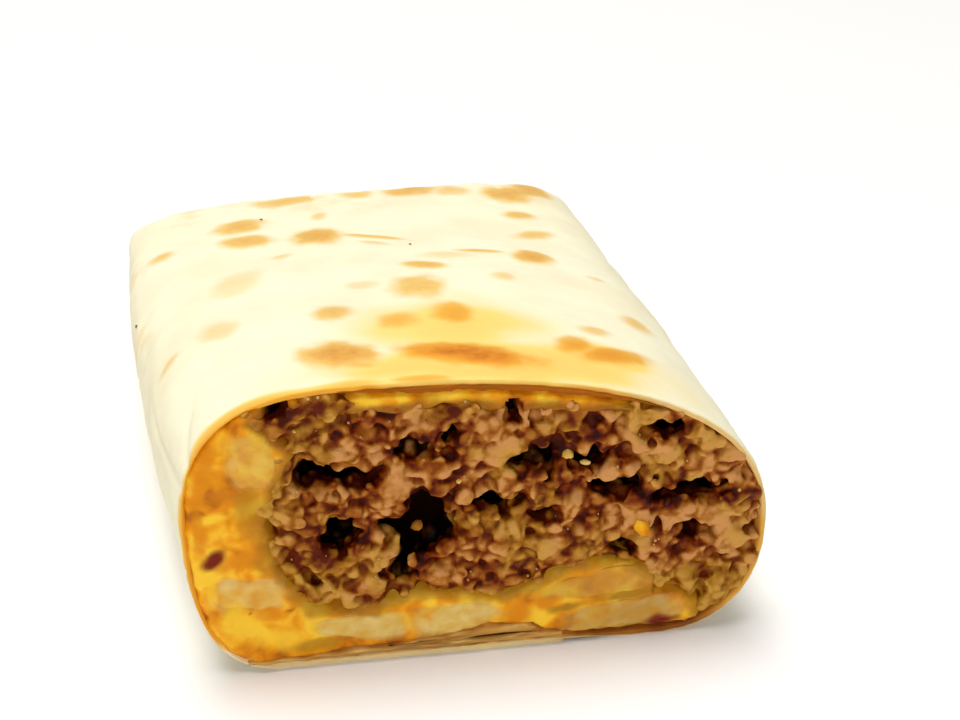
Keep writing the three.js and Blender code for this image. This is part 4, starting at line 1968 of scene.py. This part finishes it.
@dataclass
class MincedBeef:
    """The mince: crumbs melted together where it shows, on its core behind."""

    finish: BrownedMince = BrownedMince()
    depth: float = 8.5
    voxel: float = 0.41
    lumpiness: float = 0.42
    knife_ahead: float = 0.3
    knife_flattening: float = 0.4
    border_sink: float = 0.7
    middle: tuple[float, float] = (6.0, 24.0)
    core_tone: float = 0.2
    # Painted shade that darkens the core behind the crumbs.
    core_painted_shade: float = 0.95
    beads: int = 40
    seed: int = 5

    def spread(self, draw: np.random.Generator, pitch: float) -> tuple[np.ndarray, np.ndarray]:
        """Jittered honeycomb places over the mince at the cut.

        Args:
            draw: Source of chance.
            pitch: Their spacing.
        Returns:
            Their x and their z.
        """
        row_share, jitter = 0.86, 0.42
        z = np.arange(0, 54, pitch * row_share)
        gx, gz = np.meshgrid(np.arange(-42, 54, pitch), z)
        gx = gx + (np.arange(len(z)) % 2)[:, None] * pitch / 2
        gx = (gx + draw.uniform(-jitter, jitter, gx.shape) * pitch).ravel()
        gz = (gz + draw.uniform(-jitter, jitter, gz.shape) * pitch).ravel()
        keep = depth_inside(FACE.mince(), np.stack([gx, gz], 1)) > -0.5
        return gx[keep], gz[keep]

    def scatter(self, draw: np.random.Generator) -> tuple[np.ndarray, np.ndarray, np.ndarray]:
        """Places crumbs at the cut and full lumps behind them, clear of the hollows.

        Args:
            draw: Source of chance.
        Returns:
            Centres, half sizes along three axes, and a shade for each.
        """
        centres, radii, shades = [], [], []
        for layer in CRUMB_LAYERS:
            x, z = self.spread(draw, layer.pitch)
            # More of the crumbs are small than large, and all are smaller near the mince's border.
            size = layer.small + (layer.large - layer.small) * draw.uniform(0, 1, len(x)) ** 1.6
            room = np.maximum(depth_inside(FACE.mince(), np.stack([x, z], 1)), 0)
            size = np.minimum(size, 1.1 + room)
            back = size * 0.85 + draw.uniform(layer.front, layer.back, len(x))
            lean = [PACKET.lean(a, b, PACKET.cut_y + c) for a, b, c in zip(x, z, back)]
            middles = np.array([(a, PACKET.cut_y + c, b) for (a, b), c in zip(lean, back)])
            keep = clear_of_hollows(x, z, size * layer.clear)
            shade = draw.uniform(0.1, 1.0, len(x))
            # The crumbs that stand out take their places in the layer in front.
            if layer is CRUMB_LAYERS[0]:
                for chunk in CHUNKS:
                    keep &= np.hypot(x - chunk.x, z - chunk.z) > chunk.size + size * 0.5
                middles = np.vstack([middles, [(c.x, PACKET.cut_y + c.size * 0.8, c.z) for c in CHUNKS]])
                size = np.concatenate([size, [c.size for c in CHUNKS]])
                shade = np.concatenate([shade, [c.shade for c in CHUNKS]])
                keep = np.concatenate([keep, np.ones(len(CHUNKS), bool)])
            for middle, reach, tone in zip(middles[keep], size[keep], shade[keep]):
                # More granules sit on a crumb's front than on its back.
                way = draw.normal(size=(layer.granules, 3))
                way[:, 1] -= 0.4
                way /= np.linalg.norm(way, axis=1)[:, None]
                around = middle + way * reach * draw.uniform(0.7, 1.1, (layer.granules, 1))
                centres.append(np.vstack([middle[None], around]))
                radii.append(np.concatenate([[reach], draw.uniform(*layer.granule, layer.granules)]))
                shades.append(np.concatenate([[tone], tone + draw.uniform(-0.12, 0.12, layer.granules)]))
        where, how, tone = np.vstack(centres), np.concatenate(radii), np.concatenate(shades)
        keep = clear_of_hollows(where[:, 0], where[:, 2], how * 0.5)
        where, how, tone = where[keep], how[keep], tone[keep]
        return where, how[:, None] * draw.uniform(0.6, 1.35, (len(how), 3)), tone

    def build(self) -> list[bpy.types.Object]:
        """Makes the mince and the fat on it.

        Returns:
            The pieces.
        """
        draw = np.random.default_rng(self.seed)
        centres, radii, shades = self.scatter(draw)
        piece = joined_lumps("minced_beef_crumbs", centres, radii, draw, self.lumpiness)
        fuse(piece, self.voxel)
        self.trim(piece)
        mesh = piece.data
        set_coordinates(mesh, calmed(mesh, coordinates(mesh), 3))
        places, out = coordinates(mesh), normals(mesh)
        bumps, lighter = self.granulate(places)
        places = calmed(mesh, places + out * bumps[:, None], 1)
        knife = PACKET.cut_y - self.knife_ahead
        pressed = knife + self.knife_flattening * (places[:, 1] - knife)
        places[:, 1] = np.where(places[:, 1] < knife, pressed, places[:, 1])
        places = self.hold_in(places)
        places[:, 1] += self.border_sink * self.sauced_border(places)
        set_coordinates(mesh, places)
        self.tones(mesh, centres, shades, lighter)
        self.add_core(piece)
        piece.data.materials.append(self.finish.material())
        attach(piece, "root")
        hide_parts("minced_beef")
        return [piece, self.fat_beads(piece)]

    def granulate(self, places: np.ndarray) -> tuple[np.ndarray, np.ndarray]:
        """Breaks the crumbs' surface into granules, coarse in some places and fine in others.

        Args:
            places: Points of the crumbs.
        Returns:
            How far each point stands out, and how much lighter than its crumb it is: each granule's
            own tone, less painted shade where granules meet.
        """
        coarse = smooth_step(-0.15, 0.25, grain(places, 9.0, self.seed + 6))
        large, large_own = granules(places, 4.4, self.seed + 5)
        small, small_own = granules(places, 2.6, self.seed + 4)
        bumps = 0.95 * coarse * large + (0.8 - 0.35 * coarse) * small - 0.45 - 0.2 * coarse
        bumps += 0.2 * grain(places, 2.4, self.seed + 1) + 0.1 * grain(places, 0.9, self.seed + 2)
        for chunk in CHUNKS:
            bumps *= 1 - 0.6 * chunk.cover(places)
        own = coarse * large_own + (1 - coarse) * small_own
        # Painted shade in the gaps where granules meet.
        gap = 1 - smooth_step(0.25, 0.65, coarse * large + (1 - coarse) * small)
        return bumps, 0.5 * (own - 0.5) - 0.3 * gap

    def fat_beads(self, crumbs: bpy.types.Object) -> bpy.types.Object:
        """Small beads of fat that cling to the crumbs where they face up and out.

        Args:
            crumbs: The mince.
        Returns:
            The beads as one piece.
        """
        draw = np.random.default_rng(self.seed + 20)
        places, out = coordinates(crumbs.data), normals(crumbs.data)
        wet = (places[:, 1] < PACKET.cut_y + 1.2) & (out[:, 2] > 0.25) & (out[:, 1] < -0.55)
        at = draw.choice(np.flatnonzero(wet), self.beads, replace=False)
        size = draw.uniform(0.12, 0.28, self.beads)
        spread = size[:, None] * draw.uniform(0.7, 1.3, (self.beads, 3))
        piece = joined_lumps("beef_fat_beads", places[at], spread, draw, 0.1)
        piece.data.shade_smooth()
        piece.data.materials.append(BeefFat().material())
        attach(piece, "root")
        return piece

    def sauced_border(self, places: np.ndarray) -> np.ndarray:
        """How far crumbs lie at the border with the sauce, where they sink into it.

        Args:
            places: Points of the crumbs.
        Returns:
            One number from 0 to 1 per point.
        """
        deep = depth_inside(FACE.mince(), places[:, [0, 2]])
        near = 1 - smooth_step(0.0, 3.4, deep + 1.2 * grain(places, 4.0, self.seed + 15))
        beside_wall = smooth_step(34, 38, places[:, 0]) * smooth_step(6, 9, places[:, 2])
        return near * (1 - beside_wall) * (1 - smooth_step(38, 42, places[:, 2]))

    def hold_in(self, places: np.ndarray) -> np.ndarray:
        """Draws points that stand out of the packet's side back inside it.

        Args:
            places: Points of the crumbs.
        Returns:
            The moved points.
        """
        share = (places[:, 1] - PACKET.cut_y) / PACKET.length
        lower = 1 + (PACKET.fold.crown_z / PACKET.cut.crown_z - 1) * share
        x_shift = np.array([PACKET.lean(0, 0, y)[0] for y in places[:, 1]])
        flat = np.stack([places[:, 0] - x_shift, places[:, 2] / lower], 1)
        behind = smooth_step(0.0, 0.8, places[:, 1] - PACKET.cut_y)
        out = np.maximum(0.5 + 0.5 * behind - depth_inside(FACE.outline(), flat), 0)
        way = flat - np.array(self.middle)
        flat = flat - way * (out / np.linalg.norm(way, axis=1))[:, None]
        return np.stack([flat[:, 0] + x_shift, places[:, 1], flat[:, 1] * lower], 1)

    def trim(self, piece: bpy.types.Object) -> None:
        """Cuts off the lumps' hidden backs, which the core covers.

        Args:
            piece: The crumbs.
        """
        bm = bmesh.new()
        bm.from_mesh(piece.data)
        cut_away(bm, PACKET.cut_y + self.depth, 1)
        bm.to_mesh(piece.data)
        bm.free()

    def tones(
        self, mesh: bpy.types.Mesh, centres: np.ndarray, shades: np.ndarray, lighter: np.ndarray
    ) -> None:
        """Stores each crumb's and granule's tone and soaking, with painted shade in creases and depth.

        Args:
            mesh: The crumbs' mesh.
            centres: Centres of the lumps.
            shades: Their shades.
            lighter: How much lighter than its crumb each point is.
        """
        places = coordinates(mesh)
        x, y, z = places.T
        tree = kdtree.KDTree(len(centres))
        for number, centre in enumerate(centres.tolist()):
            tree.insert(centre, number)
        tree.balance()
        nearest = np.array([tree.find(p)[1] for p in places.tolist()])
        cloud = grain(places, 11, self.seed + 8)
        left = 1 - smooth_step(-29, -18, x + 3 * cloud)
        low = 1 - smooth_step(8, 15, z + 3 * cloud)
        right = smooth_step(36, 42, x + 2 * cloud) * (1 - smooth_step(9, 18, z + 3 * cloud))
        mottle = grain(places, 6.5, self.seed + 9) + 0.35 * grain(places, 2.2, self.seed + 10)
        patch = smooth_step(-0.05, 0.4, mottle)
        border = self.sauced_border(places)
        juice = 0.6 * left + 0.4 * low + 0.6 * right + 0.65 * patch + 0.6 * border
        # Painted shade in the creases between crumbs.
        crease = 0.08 * creases(mesh, places, 2, 0.08) + 0.36 * creases(mesh, places, 14, 0.4)
        clump_tone_and_shade = 0.42 * grain(places, 7.0, self.seed + 11) + calmed(mesh, lighter[:, None], 1)[:, 0]
        for chunk in CHUNKS:
            clump_tone_and_shade += 0.7 * (chunk.shade - 0.55) * chunk.cover(places)
        # Painted shade round the hollows.
        for h in HOLLOWS:
            near = np.hypot((x - h.x) / (h.across + 0.9), (z - h.z) / (h.up + 0.9))
            clump_tone_and_shade = np.minimum(clump_tone_and_shade, clump_tone_and_shade - 0.4 * (1 - smooth_step(0.8, 1.5, near)))
        own = calmed(mesh, shades[nearest][:, None], 5)[:, 0]
        shade = 0.41 + 0.08 * smooth_step(18, 34, x) + 0.5 * own
        # Painted shade: the depth number grows behind the cut and in broad creases.
        sunk = smooth_step(1.0, 5.2, y - PACKET.cut_y) + 0.3 * creases(mesh, places, 30, 0.6)
        paint(mesh, "tone", shade + clump_tone_and_shade - crease)
        paint(mesh, "depth", np.clip(sunk, 0, 1))
        paint(mesh, "olive", np.clip(juice, 0, 0.95))

    def add_core(self, piece: bpy.types.Object) -> None:
        """Joins the node's core behind the crumbs to the piece, darkened by painted shade.

        Args:
            piece: The crumbs.
        """
        core = part_of_node("minced_beef", PACKET.cut_y + self.depth, PACKET.fold_y)
        count = len(core.vertices)
        join(piece, core, {"tone": [self.core_tone] * count, "depth": [self.core_painted_shade] * count})


@dataclass(frozen=True)
class Bit:
    """A bit of cheese caught among the crumbs at the cut: place, half size and how pale it is."""

    x: float
    z: float
    size: float
    pale: float


BITS = (
    Bit(30.5, 22, 1.5, 0.0),
    Bit(19, 36.5, 0.75, 1.0),
    Bit(22, 35, 0.5, 0.9),
    Bit(32.5, 30, 0.75, 0.5),
    Bit(-21.5, 44.5, 0.5, 0.6),
    Bit(45.5, 15.5, 0.5, 0.6),
    Bit(2.5, 33.5, 0.5, 0.9),
)


@dataclass
class CheeseSauce:
    """The sauce: a smooth wavy front at the cut, on the poured body behind."""

    finish: MeltedCheeseSauce = MeltedCheeseSauce()
    depth: float = 7.0
    pitch: float = 0.5
    rim: float = 0.35
    back_share: float = 0.9
    seed: int = 23

    def build(self) -> bpy.types.Object:
        """Makes the front, joins the poured body behind it and adds the bits.

        Returns:
            The piece.
        """
        piece = self.front()
        join(piece, part_of_node("cheese_sauce", PACKET.cut_y + self.depth - 0.5, PACKET.fold_y), {})
        self.add_bits(piece)
        piece.data.materials.append(self.finish.material())
        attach(piece, "root")
        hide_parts("cheese_sauce")
        return piece

    def front(self) -> bpy.types.Object:
        """The slab at the cut: a grid with its waves, thickened towards the back.

        Returns:
            The slab.
        """
        p = PACKET
        wide, high = p.cut.right - p.cut.left, p.cut.crown_z
        bm = bmesh.new()
        bmesh.ops.create_grid(
            bm, x_segments=round(wide / self.pitch), y_segments=round(high / self.pitch), size=0.5
        )
        for corner in bm.verts:
            corner.co = (p.cut.left + (corner.co.x + 0.5) * wide, (corner.co.y + 0.5) * high, 0)
        flat = np.array([v.co[:2] for v in bm.verts])
        keep = (depth_inside(FACE.outline(), flat) > 0.6) & (depth_inside(FACE.mince(), flat) < 2.4)
        keep &= (flat[:, 0] < 34) | (flat[:, 1] < 9)
        keep &= clear_of_hollows(*flat.T, np.ones(len(flat)))
        gone = [v for v, stays in zip(list(bm.verts), keep) if not stays]
        bmesh.ops.delete(bm, geom=gone, context="VERTS")
        self.fit_rim(bm)
        back = p.cut_y + self.depth
        shift = p.lean(0, 0, back)[0]
        thinner = p.section(back, Margin()).crown_z / p.cut.crown_z
        places = np.array([v.co[:2] for v in bm.verts])
        sunk = FACE.sauce(places)
        grown = bmesh.ops.extrude_face_region(bm, geom=list(bm.faces), use_keep_orig=True)["geom"]
        fresh = set(v for v in grown if isinstance(v, bmesh.types.BMVert))
        behind = [v for v in bm.verts if v not in fresh]
        for corner, (x, z), far in zip(behind, places, sunk):
            corner.co = Vector((x, p.cut_y + far, z)) * MM
        mid_x, mid_z = (p.cut.left + p.cut.right) / 2, p.cut.crown_z / 2
        for corner in fresh:
            x = mid_x + (corner.co.x - mid_x) * self.back_share
            z = mid_z + (corner.co.y - mid_z) * self.back_share
            corner.co = Vector((x + shift, back, z * thinner)) * MM
        bmesh.ops.recalc_face_normals(bm, faces=bm.faces)
        piece = smooth_object("cheese_sauce_melt", bm)
        smear(piece.data, self.seed)
        return piece

    def fit_rim(self, bm: bmesh.types.BMesh) -> None:
        """Moves the grid's stepped border out to run evenly just inside the packet's outside.

        Args:
            bm: The grid, with x and z of the cut in millimetres.
        """
        probe = 0.05
        border = [v for v in bm.verts if v.is_boundary]
        flat = np.array([v.co[:2] for v in border])
        deep = depth_inside(FACE.outline(), flat)
        sides = [depth_inside(FACE.outline(), flat + step) - deep for step in probe * np.eye(2)]
        inward = np.stack(sides, 1) / probe
        for corner, place, way, far in zip(border, flat, inward, deep):
            if far < 1.8:
                high = float(smooth_step(40, 47, place[1]) * smooth_step(-27, -17, place[0]))
                corner.co = (*(place - way * (far - self.rim - 0.8 * high)), 0)

    def add_bits(self, piece: bpy.types.Object) -> None:
        """Joins the bits of cheese among the crumbs to the piece.

        Args:
            piece: The sauce.
        """
        draw = np.random.default_rng(self.seed)
        centres = np.array([(b.x, PACKET.cut_y + 0.3 + 0.7 * b.size, b.z) for b in BITS])
        sizes = np.array([b.size for b in BITS])[:, None] * draw.uniform(0.6, 1.3, (len(BITS), 3))
        lumps = joined_lumps("bits", centres, sizes, draw, 1.2)
        mesh = lumps.data
        bpy.data.objects.remove(lumps)
        join(piece, mesh, {"flesh": np.repeat([b.pale for b in BITS], len(mesh.vertices) // len(BITS))})


@dataclass(frozen=True)
class SoftLight:
    """A square soft light: where it hangs and points and its side in millimetres, its power in watts."""

    name: str
    at: tuple[float, float, float]
    aim: tuple[float, float, float]
    side: float
    power: float

    def hang(self) -> None:
        """Adds the light to the scene."""
        lamp = bpy.data.lights.new(self.name, "AREA")
        lamp.size = self.side * MM
        lamp.energy = self.power
        made = bpy.data.objects.new(self.name, lamp)
        made.location = Vector(self.at) * MM
        made.rotation_euler = (Vector(self.aim) - Vector(self.at)).to_track_quat("-Z", "Y").to_euler()
        bpy.context.collection.objects.link(made)


@dataclass
class Studio:
    """Pale floor, soft light from above and the camera at the picture's angle."""

    camera_at: tuple[float, float, float] = (-23.55, -245.24, 175.54)
    aim: tuple[float, float, float] = (13.70, 0.36, 20.10)
    roll: float = math.radians(0.418)
    lens: float = 60.0
    sensor: float = 36.0
    floor_side: float = 6000.0
    sky: float = 0.15
    lights: tuple[SoftLight, ...] = (
        SoftLight("overhead", at=(-180, 160, 1985), aim=(0, 0, 20), side=1150, power=41.0),
        SoftLight("front_fill", at=(-150, -620, 300), aim=(0, -40, 20), side=500, power=1.55),
    )

    def build(self) -> None:
        """Makes the floor, the lights, the sky and the camera."""
        bm = bmesh.new()
        bmesh.ops.create_grid(bm, x_segments=1, y_segments=1, size=self.floor_side * MM / 2)
        floor = smooth_object("floor", bm)
        floor.data.materials.append(PaleTable().material())
        for light in self.lights:
            light.hang()
        sky = bpy.data.worlds.new("sky")
        sky.use_nodes = True
        glow = sky.node_tree.nodes["Background"].inputs
        glow["Color"].default_value = (1, 1, 1, 1)
        glow["Strength"].default_value = self.sky
        bpy.context.scene.world = sky
        bpy.context.scene.view_settings.view_transform = "Standard"
        self.camera()

    def camera(self) -> None:
        """Adds the camera, turned by the picture's slight roll."""
        eye = bpy.data.cameras.new("camera")
        eye.lens = self.lens
        eye.sensor_width = self.sensor
        made = bpy.data.objects.new("camera", eye)
        look = (Vector(self.aim) - Vector(self.camera_at)).normalized()
        right = look.cross(Vector((0, 0, 1))).normalized()
        up = right.cross(look)
        tilted = right * math.cos(self.roll) + up * math.sin(self.roll)
        upright = up * math.cos(self.roll) - right * math.sin(self.roll)
        turn = Matrix((tilted, upright, -look)).transposed()
        made.matrix_world = Matrix.Translation(Vector(self.camera_at) * MM) @ turn.to_4x4()
        bpy.context.collection.objects.link(made)
        bpy.context.scene.camera = made


def main() -> None:
    """Builds the food piece by piece, then the studio."""
    logging.basicConfig(level=logging.INFO, format="%(message)s")
    Studio().build()
    pieces: list[bpy.types.Object] = []
    pieces += Tortilla().build()
    pieces += Fries().build()
    pieces.append(CheeseSauce().build())
    pieces += MincedBeef().build()
    for piece in pieces:
        LOG.info("%s: %d faces", piece.name, len(piece.data.polygons))


if __name__ == "__main__":
    main()
